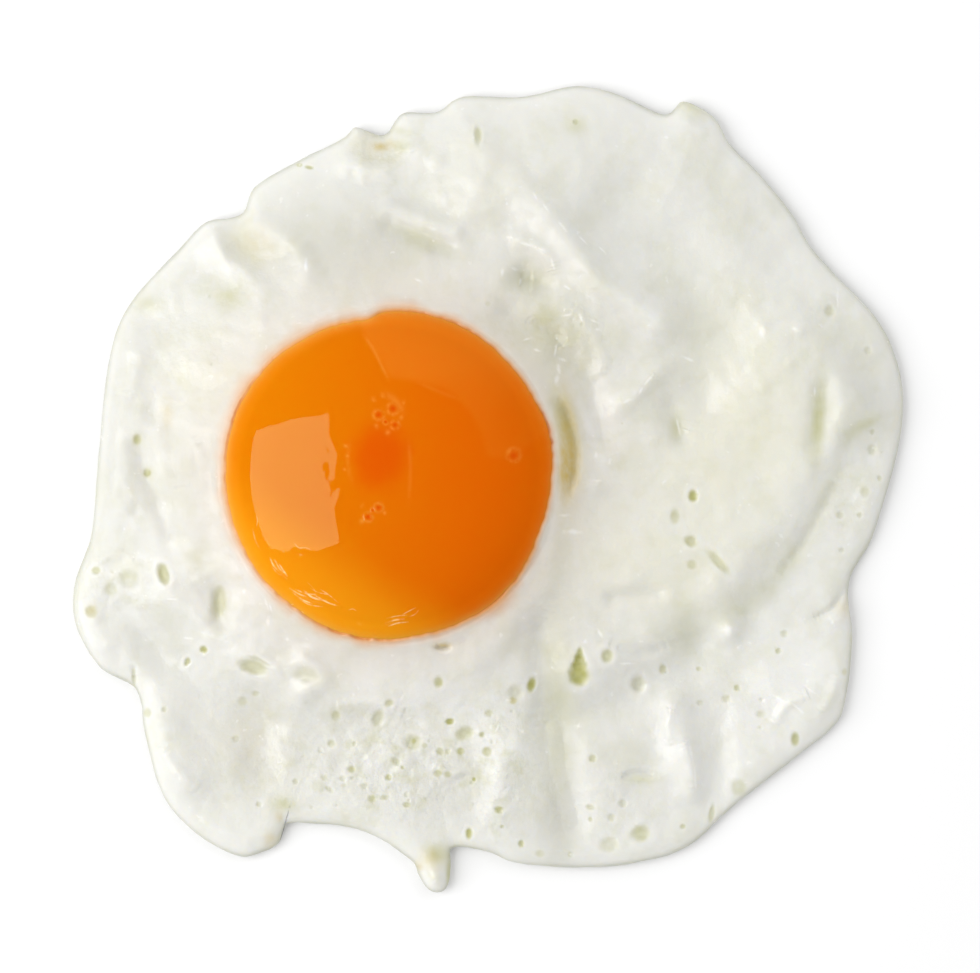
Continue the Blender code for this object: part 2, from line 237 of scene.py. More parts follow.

# How far round a feature the edges are kept short: as shares of its half width, or in mm for the yolk's
# painted glints and painted sheen
BUBBLE_ZONE = 1.6
FROTH_BUBBLE_ZONE = 1.8
GLINT_ZONE = 1.3
STROKE_ZONE = 2.2
SKIN_GLINT_ZONE = 0.35
SHEEN_ZONE = 0.6

# The most triangles that one piece may have
MOST_TRIANGLES = 199000

# The rim of the white, anticlockwise from the right-hand side, through lobes, notches and the drip
OUTLINE = (
    (53.9, 11.7), (52.8, 17.6), (49.9, 22.9), (42.8, 30.4), (39.4, 35.8), (35.3, 40.9), (31.7, 44.5),
    (29.3, 48.4), (25.4, 50.4), (22.8, 48.7), (17.1, 51.2), (11.6, 52.4), (4.1, 51.0), (-3.4, 51.0),
    (-6.7, 49.0), (-11.1, 48.8), (-13.5, 46.0), (-17.1, 47.1), (-18.9, 45.6), (-24.9, 42.5),
    (-30.2, 39.4), (-32.0, 35.8), (-36.6, 34.7), (-40.4, 30.9), (-45.3, 25.7), (-47.9, 21.5),
    (-49.2, 16.9), (-50.1, 9.8), (-50.8, 2.0), (-51.5, -5.9), (-53.6, -12.1), (-53.5, -17.6),
    (-50.5, -23.0), (-45.7, -26.0), (-44.5, -31.9), (-42.2, -39.7), (-37.9, -44.7), (-32.3, -47.6),
    (-28.9, -46.9), (-27.2, -45.9), (-26.4, -44.1), (-24.9, -43.3), (-16.7, -44.2), (-10.3, -47.9),
    (-9.1, -49.9), (-8.2, -51.5), (-7.0, -52.3), (-5.7, -52.1), (-5.0, -50.9), (-4.8, -48.4),
    (-4.3, -46.5), (0.2, -47.1), (3.6, -48.5), (11.9, -49.1), (19.7, -48.4), (26.2, -46.2), (32.4, -40.7),
    (41.0, -34.0), (44.6, -31.0), (46.3, -28.0), (47.3, -19.5), (46.9, -12.0), (50.0, -5.9),
    (53.1, 4.6),
)

# The edge of the thick white, which runs past the rim where thick white reaches it
THICK_WHITE = (
    (47.0, 31.0), (43.6, 24.7), (46.5, 18.9), (51.8, 11.4), (49.3, 8.5), (46.5, 5.6), (43.6, -0.9),
    (39.4, -7.2), (33.0, -13.0), (28.2, -17.6), (21.6, -21.5), (13.2, -26.0), (7.0, -27.0),
    (-6.3, -26.0), (-14.0, -27.7), (-23.2, -27.3), (-32.3, -24.7), (-38.8, -20.5), (-44.0, -15.3),
    (-48.5, -13.0), (-58.0, -10.0), (-58.0, 20.0), (-40.0, 45.0), (-10.0, 60.0), (30.0, 62.0),
)

# The main relief, a little softer than the solid's: the line that each ridge or valley follows, its height
# or depth, and its half width, all in mm
RIDGES = {
    "upper sweep": (((4.1, 39.0), (9.3, 33.2), (14.5, 27.0), (21.6, 21.8)), 1.2, 2.6),
    "upper hump": (((-2.5, 44.5), (-1.1, 38.0)), 0.9, 4.0),
    "north fold": (((-12.8, 36.1), (-4.4, 33.0)), 0.75, 1.5),
    "north-west flap": (((-29.9, 34.8), (-24.5, 31.2), (-23.6, 27.6)), 1.1, 2.0),
    "north-west crease": (((-36.2, 34.0), (-34.0, 29.5), (-29.0, 25.5)), 0.45, 1.6),
    "rim lens": (((-17.9, 41.6), (-13.6, 40.8)), 0.8, 1.6),
    "west hump": (((-45.5, 17.5), (-46.0, 8.5), (-47.5, -2.0)), 0.9, 3.2),
    "east lip of the slot": (((45.5, 14.0), (46.2, 10.0), (44.0, 5.0)), 0.4, 1.7),
    "east knob": (((48.0, 12.0), (49.0, 9.5)), 0.8, 2.6),
    "crumple": (((17.0, 11.0), (22.0, 15.3)), 0.6, 1.6),
    "small hump": (((31.0, -18.6), (31.4, -18.2)), 1.0, 1.9),
    "south stream": (((7.0, -11.5), (-1.5, -21.5)), 1.3, 2.2),
    "south ridge": (((23.7, -28.0), (25.0, -33.5), (26.2, -38.5)), 1.0, 2.0),
    "south-east swell": (((36.0, -25.0), (42.0, -28.0)), 0.6, 2.6),
    "south-west swell": (((-42.5, -30.5), (-39.0, -37.0)), 0.9, 3.4),
    "froth bank": (((2.0, -32.0), (1.6, -41.0)), 0.8, 2.3),
    "crater bank": (((-23.5, -21.5), (-21.0, -24.5), (-24.0, -26.5)), 0.9, 1.5),
}
VALLEYS = {
    "great hollow": (((18.0, 37.0), (25.5, 30.0), (29.5, 21.0), (26.5, 11.0)), 1.9, 5.0),
    "yolk-side valley": (((2.5, 22.3), (7.5, 18.8), (12.6, 13.0), (13.7, 7.0)), 2.2, 2.2),
    "cavity under the flap": (((4.9, 27.4), (6.5, 26.6)), 1.4, 2.0),
    "north groove": (((-12.5, 34.2), (-5.0, 31.2)), 0.7, 1.3),
    "north groove, outer side": (((-8.5, 37.0), (-2.0, 32.3)), 0.45, 1.9),
    "north-west dent": (((-32.6, 32.4), (-30.0, 29.0)), 0.25, 2.8),
    "east slot": (((43.0, 13.0), (42.4, 6.0)), 0.6, 1.6),
    "crumple slot": (((23.6, 10.5), (24.7, 7.0)), 0.7, 1.3),
    "south-east dent": (((26.2, -13.0), (26.8, -19.0)), 0.9, 3.0),
    "east groove": (((16.1, -13.8), (21.6, -13.4)), 0.8, 1.0),
    "south fold": (((7.0, -18.5), (8.2, -27.0), (9.0, -36.0), (10.6, -43.0)), 1.2, 2.5),
    "south-east trough": (((29.0, -29.0), (29.2, -40.0)), 0.8, 2.6),
    "south-west trough": (((-29.8, -27.5), (-29.5, -36.0)), 0.8, 2.8),
    "west dimples": (((-45.0, 5.5), (-43.5, 1.0), (-41.0, -5.0)), 0.7, 1.6),
    "south-west dimple": (((-34.6, -13.0), (-34.4, -16.5)), 1.1, 1.5),
}

# Finer folds and creases: a line of plan points, its height (or depth, below 0) and its half width in mm
STROKES = {
    "north-west facet, inner crest": (((282, 236), (297, 252), (307, 274)), 0.15, 0.9),
    "north-west facet, outer crest": (
        ((211, 226), (221, 246), (231, 264), (246, 272), (262, 298)), 0.22, 0.7),
    "north-west facet, floor": (((232, 240), (244, 252), (258, 264)), -0.15, 1.6),
    "west band": (((128, 402), (136, 375), (146, 350)), 0.3, 1.3),
    "rim bowl, right bank": (((408, 134), (410, 158)), 0.3, 1.1),
    "main ridge, crest": (((530, 190), (555, 222), (575, 250), (600, 285), (630, 306), (650, 320),
                           (656, 340)), 0.3, 1.2),
    "hollow, tail": (((700, 370), (700, 400), (690, 440)), -0.3, 1.8),
    "blister, crest": (((505, 248), (518, 243), (535, 250), (549, 263), (554, 279)), 0.4, 0.85),
    "blister, floor": (((516, 282), (534, 284)), -0.5, 1.3),
    "crumple, crest": (((616, 406), (632, 400), (644, 388), (657, 374)), 0.15, 1.0),
    "notch crease": (((847, 580), (839, 596), (829, 609), (808, 619)), -0.55, 0.5),
    "notch crease, bank": (((860, 590), (846, 612), (826, 624)), 0.3, 0.8),
    "east slot, crest": (((834, 380), (839, 410), (834, 440)), 0.12, 0.9),
    "south flap, left crest": (((671, 705), (666, 722), (668, 748)), 0.28, 0.8),
    "south flap, right crest": (((680, 736), (690, 760), (694, 792)), 0.26, 0.75),
    "south groove": (((618, 777), (636, 772), (656, 773)), -0.35, 0.5),
    "south-east arc": (((770, 726), (786, 703), (811, 690)), 0.35, 0.7),
    "far south-east arc": (((818, 714), (830, 694), (836, 670)), 0.35, 0.7),
    "south-west crest": (((158, 742), (178, 770), (202, 790)), 0.4, 1.1),
    "west nick": (((135, 668), (138, 702)), -0.45, 0.45),
    "west arc": (((98, 561), (118, 554), (141, 559)), 0.18, 0.6),
    "south furrow, left line": (((548, 600), (536, 640), (538, 690), (541, 735)), -0.25, 1.1),
    "south furrow, right bank": (((590, 700), (588, 750), (592, 800)), 0.15, 2.0),
    "froth, upper bank": (((330, 706), (372, 700), (412, 712)), 0.35, 0.8),
    "froth, steps": (((430, 760), (452, 772), (474, 765)), 0.35, 0.6),
    "slit under the yolk": (((434, 642), (443, 645), (453, 643)), -0.9, 0.4),
    "yolk-side crease": (((560, 306), (585, 325), (600, 352), (604, 380)), 0.28, 0.9),
    "yolk-side cut": (((522, 318), (545, 332), (566, 350)), -0.35, 0.8),
    "east ripple": (((742, 300), (760, 330), (787, 365)), 0.1, 1.2),
    "east ripple, lower": (((720, 352), (745, 378), (760, 390)), 0.1, 1.2),
    "step fold": (((842, 470), (822, 505), (800, 545), (772, 580)), -0.3, 0.8),
    "south bank": (((600, 640), (640, 652), (672, 642)), -0.35, 0.8),
    "top lobe seam": (((672, 100), (690, 118), (716, 126)), -0.3, 0.7),
    "left collar fold": (((196, 430), (204, 470), (206, 512)), 0.25, 1.0),
    "left collar cut": (((182, 396), (176, 440), (186, 500)), -0.25, 1.2),
}

# Low domes: plan point, height and radius in mm
DOMES = (
    ((545, 350), 0.55, 1.5), ((760, 330), 0.3, 0.9), ((797, 332), 0.3, 0.8), ((760, 388), 0.3, 0.9),
    ((787, 365), 0.25, 0.8), ((650, 440), 0.35, 1.1), ((727, 630), 0.35, 1.2), ((435, 876), 0.9, 1.5),
    ((480, 188), 0.5, 1.4), ((492, 160), 0.4, 1.6), ((437, 162), 0.35, 1.0), ((593, 486), 0.3, 1.0),
    ((262, 320), 0.25, 1.4), ((668, 770), 0.3, 1.2), ((820, 300), 0.25, 1.2),
)

# Burst bubbles: plan point, half width, half height and bearing on the plan, depth in mm, and how strongly
# the half-set white in them shows
BUBBLES = (
    ((578, 673), 10.5, 11.5, 0, 0.8, 1.0), ((578, 666), 8.5, 10, 0, 0.8, 1.0),
    ((578.5, 659), 6, 9, 0, 0.7, 0.95), ((579, 653), 3.5, 8, 0, 0.5, 0.85), ((256, 665), 16, 8, 15, 0.6, 0.5),
    ((262, 660), 13, 4, 25, 0.5, 0.3), ((717, 562), 15, 5, 48, 0.35, 0.42), ((640, 832), 10, 9, 0, 0.25, 0.5),
    ((309, 672), 13, 9, 10, 0.3, 0.22), ((222, 600), 8, 17, 8, 0.35, 0.35), ((413, 741), 9, 8, 0, 0.3, 0.35),
    ((414, 740), 3, 3, 0, 0.3, 0.7), ((531, 683), 4.5, 8, 12, 0.6, 1.0), ((516, 691), 8, 9, 0, 0.3, 0.2),
    ((513, 699), 4, 4, 0, 0.1, 0.5), ((638, 683), 7.5, 9, 0, 0.4, 0.3), ((609, 843), 9, 8, 0, 0.2, 0.25),
    ((738, 786), 8, 9, 0, 0.2, 0.35), ((606, 654), 6.5, 7, 0, 0.35, 0.6), ((673, 516), 5, 8, 0, 0.2, 0.4),
    ((689, 541), 7, 6, 20, 0.25, 0.5), ((690, 564), 5, 5, 0, 0.15, 0.35), ((691, 496), 4.5, 6, 0, 0.5, 0.9),
    ((167, 573), 6, 11, -15, 0.35, 0.7), ((131, 578), 11, 10, 0, 0.2, 0.2), ((113, 589), 7, 7, 0, 0.15, 0.3),
    ((93, 611), 7, 6, 0, 0.12, 0.4), ((98, 570), 5, 4, 0, 0.2, 0.6), ((376, 150), 27, 21, 8, 0.4, 0.1),
    ((828, 312), 5, 6, 0, 0.4, 0.2), ((870, 450), 5, 6, 0, 0.4, 0.25), ((863, 492), 5, 6, 0, 0.3, 0.25),
    ((439, 680), 5, 6, 0, 0.3, 0.7),
    ((465, 732), 10, 7, -25, 0.35, 0.5), ((379, 716), 6, 9, 20, 0.3, 0.45), ((794, 738), 4.5, 7, 0, 0.4, 0.7),
    ((575, 124), 3, 3, 0, 0.3, 0.3), ((866, 351), 4, 4, 0, 0.3, 0.2), ((870, 432), 3, 3, 0, 0.25, 0.3),
    ((878, 478), 3, 3, 0, 0.25, 0.3), ((838, 515), 4, 4, 0, 0.3, 0.25), ((858, 515), 3, 3, 0, 0.3, 0.3),
    ((840, 550), 3, 3, 0, 0.25, 0.25), ((783, 633), 4, 4, 0, 0.2, 0.3), ((777, 650), 3, 3, 0, 0.3, 0.5),
    ((736, 687), 3.5, 3.5, 0, 0.3, 0.5), ((725, 698), 5, 4, 0, 0.25, 0.3), ((699, 702), 4, 3, 0, 0.2, 0.25),
    ((698, 668), 3, 2.5, 0, 0.2, 0.4), ((760, 713), 5, 4, 0, 0.2, 0.2), ((711, 812), 3, 10, 10, 0.3, 0.4),
    ((843, 671), 3, 4, 0, 0.2, 0.3), ((682, 825), 3, 2.5, 0, 0.2, 0.5), ((662, 668), 4, 5, 10, 0.3, 0.5),
    ((592, 757), 4, 4, 0, 0.3, 0.4), ((622, 802), 4, 4, 0, 0.3, 0.3), ((611, 816), 4, 4, 0, 0.2, 0.3),
    ((590, 806), 5, 3, 20, 0.3, 0.3), ((590, 818), 2.5, 2.5, 0, 0.2, 0.5), ((570, 853), 3, 3, 0, 0.2, 0.3),
    ((540, 852), 5, 4, 0, 0.2, 0.3), ((450, 720), 4.5, 3.5, -10, 0.5, 1.0), ((489, 712), 4, 4, 0, 0.2, 0.35),
    ((482, 733), 3, 3, 0, 0.3, 0.6), ((425, 744), 3, 3, 0, 0.2, 0.4), ((440, 750), 4, 4, 0, 0.25, 0.5),
    ((448, 750), 3, 3, 0, 0.25, 0.4), ((461, 750), 4, 4, 0, 0.25, 0.7), ((487, 750), 5, 5, 0, 0.3, 0.6),
    ((396, 760), 5, 4, 30, 0.3, 0.35), ((403, 766), 2, 2, 0, 0.2, 0.5), ((438, 772), 4, 3.5, 0, 0.25, 0.5),
    ((448, 773), 4, 3.5, 0, 0.25, 0.5), ((474, 778), 2, 2.5, 0, 0.3, 0.6), ((407, 803), 4, 3, 0, 0.25, 0.45),
    ((407, 793), 3, 3, 0, 0.2, 0.2), ((499, 808), 5, 4, 15, 0.3, 0.6), ((469, 832), 3.5, 6, 0, 0.4, 0.9),
    ((502, 825), 2, 2, 0, 0.2, 0.5), ((521, 842), 3, 4, 0, 0.3, 0.7), ((206, 648), 4, 4, 0, 0.5, 0.9),
    ((189, 661), 3, 5, 20, 0.4, 0.7), ((244, 700), 5, 5, 0, 0.25, 0.3), ((257, 692), 4, 3, 0, 0.25, 0.3),
    ((166, 708), 3, 3, 0, 0.2, 0.3), ((149, 712), 4.5, 5, 0, 0.25, 0.4), ((237, 738), 4, 4, 0, 0.2, 0.2),
    ((135, 676), 2.5, 9, 0, 0.25, 0.4), ((260, 803), 3, 3, 0, 0.2, 0.3), ((296, 780), 3, 3, 0, 0.2, 0.3),
    ((332, 742), 4, 4, 0, 0.25, 0.35), ((337, 714), 5, 6, 0, 0.25, 0.35), ((390, 701), 5, 4, -30, 0.3, 0.5),
    ((352, 768), 4, 4, 0, 0.3, 0.35), ((343, 777), 4, 3, 0, 0.25, 0.3), ((389, 776), 3.5, 3.5, 0, 0.3, 0.6),
    ((365, 785), 4.5, 4, 0, 0.3, 0.3), ((372, 797), 4, 4, 0, 0.2, 0.35), ((385, 796), 5, 3, 0, 0.2, 0.35),
    ((325, 776), 4, 3, 0, 0.25, 0.3), ((330, 788), 5, 2.5, 30, 0.25, 0.3), ((478, 138), 4, 10, 0, 0.4, 0.3),
    ((300, 166), 3.5, 2, 0, 0.4, 0.6), ((310, 169), 4.5, 2, 10, 0.3, 0.7), ((140, 440), 4, 5, 0, 0.3, 0.5),
    ((150, 473), 4, 4, 0, 0.25, 0.45), ((488, 306), 3, 3, 0, 0.1, 0.2),
)

# The bank round a bubble: its height in mm, its middle and half width as shares of the bubble's reach, its
# brightness, and the depths in mm that give a bubble its full bank and the bank its full brightness
BUBBLE_BANK = (0.045, 1.5, 0.35)
BANK_BRIGHTNESS = 0.25
FULL_BANK_DEPTH = 0.4
FULL_BRIGHT_DEPTH = 0.3

# How uneven the outlines of bubbles and glints are, and what share of its depth a bubble keeps that is
# narrower than a number of plan steps
BUBBLE_WOBBLE = 0.12
GLINT_WOBBLE = 0.5
SMALL_BUBBLE = 6
SMALL_BUBBLE_DEPTH = 0.5

# Where a hollow, a tint or a glint ends and how long the ramp to there is, as shares of the reach
HOLLOW_RAMP = (1.2, 0.9)
TINT_RAMP = (1.25, 0.75)
FROTH_HOLLOW_RAMP = (1.2, 1.0)
FROTH_TINT_RAMP = (1.1, 0.6)
GLINT_RAMP = (1.3, 1.1)

# Where the froth lies: plan point, half width and half height in plan steps, strength
FROTH = (
    ((395, 765), 115, 62, 1.0), ((495, 765), 26, 66, 0.9), ((620, 805), 70, 34, 0.45),
    ((125, 590), 46, 32, 0.5), ((190, 365), 46, 52, 0.4), ((610, 450), 52, 70, 0.35),
    ((850, 500), 34, 60, 0.4), ((560, 330), 50, 40, 0.5), ((255, 770), 50, 45, 0.35),
    ((740, 700), 70, 40, 0.35), ((380, 150), 40, 22, 0.6), ((250, 290), 50, 40, 0.35),
)

# The froth's own small bubbles, placed at random: their number and seed, radii in mm, depths as shares of
# the radius, and how strongly the half-set white shows in them
FROTH_BUBBLES = 30
FROTH_SEED = 11
FROTH_BUBBLE_SIZES = (0.16, 0.36)
FROTH_BUBBLE_DEPTHS = (0.2, 0.45)
FROTH_TINT = 0.15

# Tinted places: plan point, half width, half height and bearing on the plan, strength
OLIVE_PATCHES = (
    ((246, 252), 26, 14, 40, 0.1), ((150, 306), 12, 8, 0, 0.3), ((425, 242), 36, 8, 22, 0.3),
    ((478, 138), 4, 10, 0, 0.25), ((575, 128), 11, 9, 0, 0.35), ((692, 110), 16, 9, 25, 0.35),
    ((816, 420), 7, 38, 4, 0.6), ((198, 556), 9, 11, 0, 0.22), ((222, 610), 8, 22, 8, 0.15),
    ((862, 425), 16, 5, -25, 0.35), ((845, 440), 6, 10, 30, 0.25), ((564, 424), 10, 32, -18, 0.7),
    ((403, 147), 8, 6, 0, 0.3), ((402, 133), 12, 4, 15, 0.3), ((449, 872), 3, 12, 0, 0.6),
    ((438, 853), 12, 10, 0, 0.45), ((283, 802), 13, 8, 0, 0.45), ((550, 335), 42, 44, -45, 0.25),
    ((702, 325), 34, 46, 0, 0.12), ((822, 500), 9, 40, 25, 0.2), ((785, 565), 9, 36, 40, 0.22),
    ((740, 608), 9, 30, 60, 0.2), ((244, 246), 14, 22, -40, 0.1), ((675, 428), 7, 15, 0, 0.4),
    ((685, 625), 18, 30, 0, 0.2),
    ((555, 690), 16, 90, 0, 0.25), ((640, 778), 18, 5, 0, 0.3), ((530, 280), 20, 12, 0, 0.3),
    ((232, 298), 14, 13, 0, 0.3), ((140, 440), 5, 6, 0, 0.5), ((150, 473), 5, 5, 0, 0.45),
)
BROWN_PATCHES = (
    ((380, 148), 9, 4, -5, 0.7), ((392, 147), 5, 5, 0, 0.2), ((376, 150), 26, 19, 10, 0.1),
    ((258, 246), 24, 18, 30, 0.2), ((170, 415), 6, 15, 0, 0.3), ((430, 858), 11, 11, 0, 0.3),
    ((419, 865), 4, 4, 0, 0.5), ((271, 839), 7, 8, 0, 0.35), ((280, 815), 4, 5, 0, 0.5),
    ((568, 446), 9, 48, -4, 0.7), ((565, 470), 8, 26, 4, 0.95), ((255, 738), 34, 38, 0, 0.1),
    ((444, 643), 9, 3, 0, 0.8), ((93, 611), 6, 6, 0, 0.3), ((843, 608), 8, 9, 0, 0.3),
    ((513, 699), 4, 3, 0, 0.3),
)
CREAM_PATCHES = (
    ((745, 430), 90, 120, 10, 1.0), ((640, 560), 90, 60, 20, 0.6), ((190, 380), 60, 90, 0, 0.45),
    ((480, 160), 60, 60, 0, 0.4), ((330, 250), 120, 40, 20, 0.35),
)
# Whiter places: partly whiter, more opaque white, partly painted light on lit ridges, lips, slopes and wet
# blobs
WHITER_AND_LIT_PATCHES = (
    ((508, 745), 14, 16, 0, 0.9), ((497, 775), 12, 20, 0, 0.6), ((516, 815), 12, 16, 0, 0.5),
    ((379, 760), 9, 8, 0, 0.6), ((681, 750), 13, 42, -10, 0.75), ((728, 632), 9, 11, 0, 0.8),
    ((412, 158), 14, 18, 0, 0.6), ((362, 172), 22, 8, 30, 0.7), ((242, 276), 22, 8, 40, 0.7),
    ((306, 268), 8, 12, 0, 0.8), ((420, 222), 30, 6, 20, 0.6), ((587, 428), 6, 40, -20, 0.7),
    ((553, 480), 4, 50, 4, 0.5), ((245, 600), 36, 60, 20, 0.3), ((440, 695), 80, 30, 0, 0.6),
    ((390, 690), 60, 24, 0, 0.4), ((616, 402), 22, 8, -25, 0.6), ((650, 320), 40, 14, 45, 0.4),
    ((610, 780), 40, 60, 0, 0.3), ((790, 680), 70, 60, 0, 0.9), ((720, 760), 50, 50, 0, 0.5),
    ((142, 400), 26, 90, -8, 0.3), ((790, 270), 30, 70, 30, 0.3), ((700, 330), 60, 80, -20, 0.15),
    ((400, 720), 60, 30, 0, 0.2), ((820, 500), 40, 60, 20, 0.5), ((650, 740), 40, 40, 0, 0.3),
    ((870, 390), 24, 50, 0, 0.15), ((545, 338), 15, 8, 20, 0.5), ((558, 362), 8, 13, 0, 0.5),
)

# Painted glints: small bright spots painted into the colour where the wet white catches the light; plan
# point, half width, half height and bearing on the plan
PAINTED_GLINTS = (
    ((535, 200), 1.2, 5, -30), ((545, 211), 1, 5, -35), ((562, 230), 1.2, 8, -40), ((582, 243), 1.2, 7, -45),
    ((601, 252), 1, 6, -45), ((510, 240), 4, 1, 10), ((526, 247), 6, 1.2, 15), ((541, 252), 5, 1.2, 20),
    ((552, 266), 1.2, 8, -15), ((502, 275), 2, 4, 0), ((514, 271), 4, 1.3, 20), ((520, 283), 1.3, 4, 10),
    ((567, 290), 5, 1.2, 30), ((566, 317), 6, 1.2, -10), ((580, 320), 1.5, 5, -20), ((593, 323), 5, 1.2, 20),
    ((596, 331), 3, 2, 0), ((526, 341), 5, 1.3, -20), ((536, 352), 4, 1.2, 20), ((555, 351), 1.3, 7, 10),
    ((562, 361), 5, 1.5, 20), ((558, 371), 1.6, 6, -10), ((556, 381), 2.5, 6, 10), ((625, 402), 7, 1.8, -20),
    ((647, 381), 1.4, 9, 40), ((639, 392), 1.2, 5, 30), ((677, 427), 1.3, 10, -12), ((687, 360), 6, 1.5, 20),
    ((760, 332), 3, 7, 0), ((792, 330), 3, 2, 0), ((563, 515), 6, 2, 0), ((572, 531), 9, 2.5, 5),
    ((595, 455), 1.5, 4, 0), ((596, 481), 5, 1.2, 0), ((270, 602), 1, 7, -15), ((274, 606), 0.9, 6, -15),
    ((271, 620), 2, 5, 0), ((290, 637), 2, 2, 0), ((247, 590), 1.4, 2, 0), ((737, 647), 1.6, 1.6, 0),
    ((748, 642), 1.5, 1.5, 0), ((726, 630), 4, 7, 0), ((669, 708), 1.4, 4, 0), ((667, 718), 1.2, 6, 20),
    ((690, 752), 1.2, 13, -12), ((694, 776), 1.2, 11, -4), ((578, 725), 2, 2, 0), ((599, 632), 1.5, 5, -30),
    ((584, 640), 2, 2, 0), ((625, 662), 9, 1, 0), ((570, 853), 1.6, 1.6, 0), ((403, 695), 1.5, 5, 30),
    ((409, 717), 5, 1, -25), ((520, 729), 6, 1, 35), ((497, 727), 1.2, 5, 30), ((355, 692), 1.2, 2, 0),
    ((360, 686), 1.2, 2, 0), ((174, 598), 5, 1, 0), ((190, 637), 6, 1, 5), ((308, 268), 1.5, 6, 0),
    ((419, 283), 4, 1.6, 20), ((300, 166), 1.6, 1.2, 0), ((812, 392), 1.2, 6, 0), ((836, 300), 1, 9, 0),
    ((662, 482), 1.4, 1.6, 0), ((777, 697), 7, 1.1, 30), ((796, 707), 8, 1.1, 40), ((810, 690), 8, 1, 35),
)

# Painted shade: darker, greyer places, in the same form as the other tinted places
PAINTED_SHADE_PATCHES = (
    ((350, 250), 70, 45, 0, 0.5), ((862, 385), 34, 60, 0, 0.3), ((722, 425), 36, 60, 0, 0.22),
    ((120, 440), 44, 150, 0, 0.32), ((200, 470), 30, 80, 0, 0.35), ((562, 770), 15, 90, 0, 0.5),
    ((548, 830), 30, 40, 0, 0.3),
    ((262, 740), 40, 45, 0, 0.12), ((440, 800), 30, 30, 0, 0.25), ((630, 760), 30, 50, 0, 0.25),
    ((700, 350), 30, 60, 0, 0.1), ((530, 290), 14, 12, 0, 0.3), ((150, 640), 40, 40, 0, 0.2),
    ((720, 740), 12, 50, 0, 0.25), ((425, 250), 30, 8, 22, 0.3), ((560, 345), 14, 30, -35, 0.4),
)

# The crevice where the white has drawn back from the yolk: plan points, depth and half width in mm
CREVICE = (((548, 397), (557, 412), (564, 430), (568, 448), (567, 468), (562, 486), (556, 503)), 1.3, 1.25)

# On the yolk: the germ's spot (plan point, half width, half height, bearing), the outline of the paler
# sheen, a painted reflection of a light on the upper right, and where the painted sheen fades
GERM = ((384, 458), 27, 32, 0)
SHEEN = ((373, 312), (366, 337), (384, 366), (393, 380), (417, 385), (452, 396), (478, 428), (490, 458),
         (520, 452), (552, 420), (545, 350), (480, 300), (420, 296))
SHEEN_FADE = (((515, 430), 55, 60, 0.9), ((450, 400), 40, 22, 0.4))

# Painted glints: thin bright streaks painted where creases in the yolk's skin catch the light; then its
# faint veins: a line of plan points, strength and half width in mm
SKIN_GLINTS = (
    (((275, 556), (278, 563), (283, 569)), 0.9, 0.07), (((280, 558), (284, 566), (290, 572)), 0.8, 0.06),
    (((284, 562), (288, 568), (292, 574)), 0.9, 0.07), (((277, 565), (282, 571), (286, 573)), 0.6, 0.05),
    (((294, 586), (302, 591), (310, 594)), 0.8, 0.06), (((297, 590), (306, 597), (316, 601)), 0.9, 0.07),
    (((300, 587), (310, 591), (322, 592)), 0.7, 0.06), (((308, 588), (317, 595), (330, 598)), 1.0, 0.09),
    (((315, 586), (323, 590), (334, 592)), 0.7, 0.05), (((318, 592), (330, 599), (341, 603)), 0.9, 0.07),
    (((325, 587), (334, 593), (342, 600)), 0.6, 0.05), (((302, 596), (313, 602), (326, 604)), 0.6, 0.05),
    (((312, 580), (317, 585), (320, 590)), 0.6, 0.05), (((388, 620), (397, 617), (406, 616)), 0.9, 0.07),
    (((391, 623), (400, 620), (410, 619)), 0.9, 0.06), (((389, 615), (399, 613), (409, 612)), 0.6, 0.05),
    (((404, 612), (411, 608), (419, 604)), 0.5, 0.05), (((410, 614), (417, 611), (421, 606)), 0.4, 0.05),
    (((286, 601), (292, 603), (297, 602)), 0.8, 0.06), (((298, 611), (303, 609), (308, 611)), 0.6, 0.05),
    (((258, 528), (261, 540), (266, 549)), 0.35, 0.06), (((299, 541), (304, 546), (309, 546)), 0.6, 0.06),
    (((262, 514), (263, 520), (262, 526)), 0.4, 0.05), (((303, 548), (310, 546), (316, 548)), 0.35, 0.05),
    (((329, 633), (333, 635), (338, 634)), 0.6, 0.06), (((352, 607), (356, 606), (360, 608)), 0.4, 0.05),
)
SKIN_VEINS = (
    (((366, 338), (376, 352), (384, 368), (392, 384)), 0.25, 0.16),
    (((411, 440), (413, 470), (411, 505)), 0.1, 0.25), (((355, 440), (352, 462), (357, 486)), 0.12, 0.2),
    (((420, 386), (440, 394), (460, 402)), 0.1, 0.2), (((388, 396), (399, 404), (406, 416)), 0.2, 0.4),
)

# The redder spot's strength and unevenness; the painted sheen's strength, the blur of its edge in mm, the
# share of the blur that lies outside its line, and its strength before it fades; where the skin's dull edge
# starts and how long the ramp to it is, as shares of the radius
GERM_STRENGTH = 0.75
GERM_WOBBLE = 0.15
SHEEN_STRENGTH = 0.52
SHEEN_BLUR = 1.2
SHEEN_OUTSET = 0.4
SHEEN_CEILING = 1.1
DULL_FROM = 0.87
DULL_RAMP = 0.045

# The pale ring round a bubble in the skin, its dark middle and its raised ring, as strengths, middles and
# widths, in shares of the bubble's radius; the strength of specks, and how faint a painted glint may get
MARK_RING = (0.24, 1.1, 0.4)
MARK_PIT = (0.95, 0.65)
RAISED_RING = (0.8, 0.35)
SPECK_STRENGTH = 0.4
FAINTEST_SKIN_GLINT = 0.15

# Where the skin is ragged, which shows at the edge of the softbox's reflection
SKIN_RAGGED = (((346, 490), 20, 60, 1.0), ((300, 548), 60, 16, 1.0))

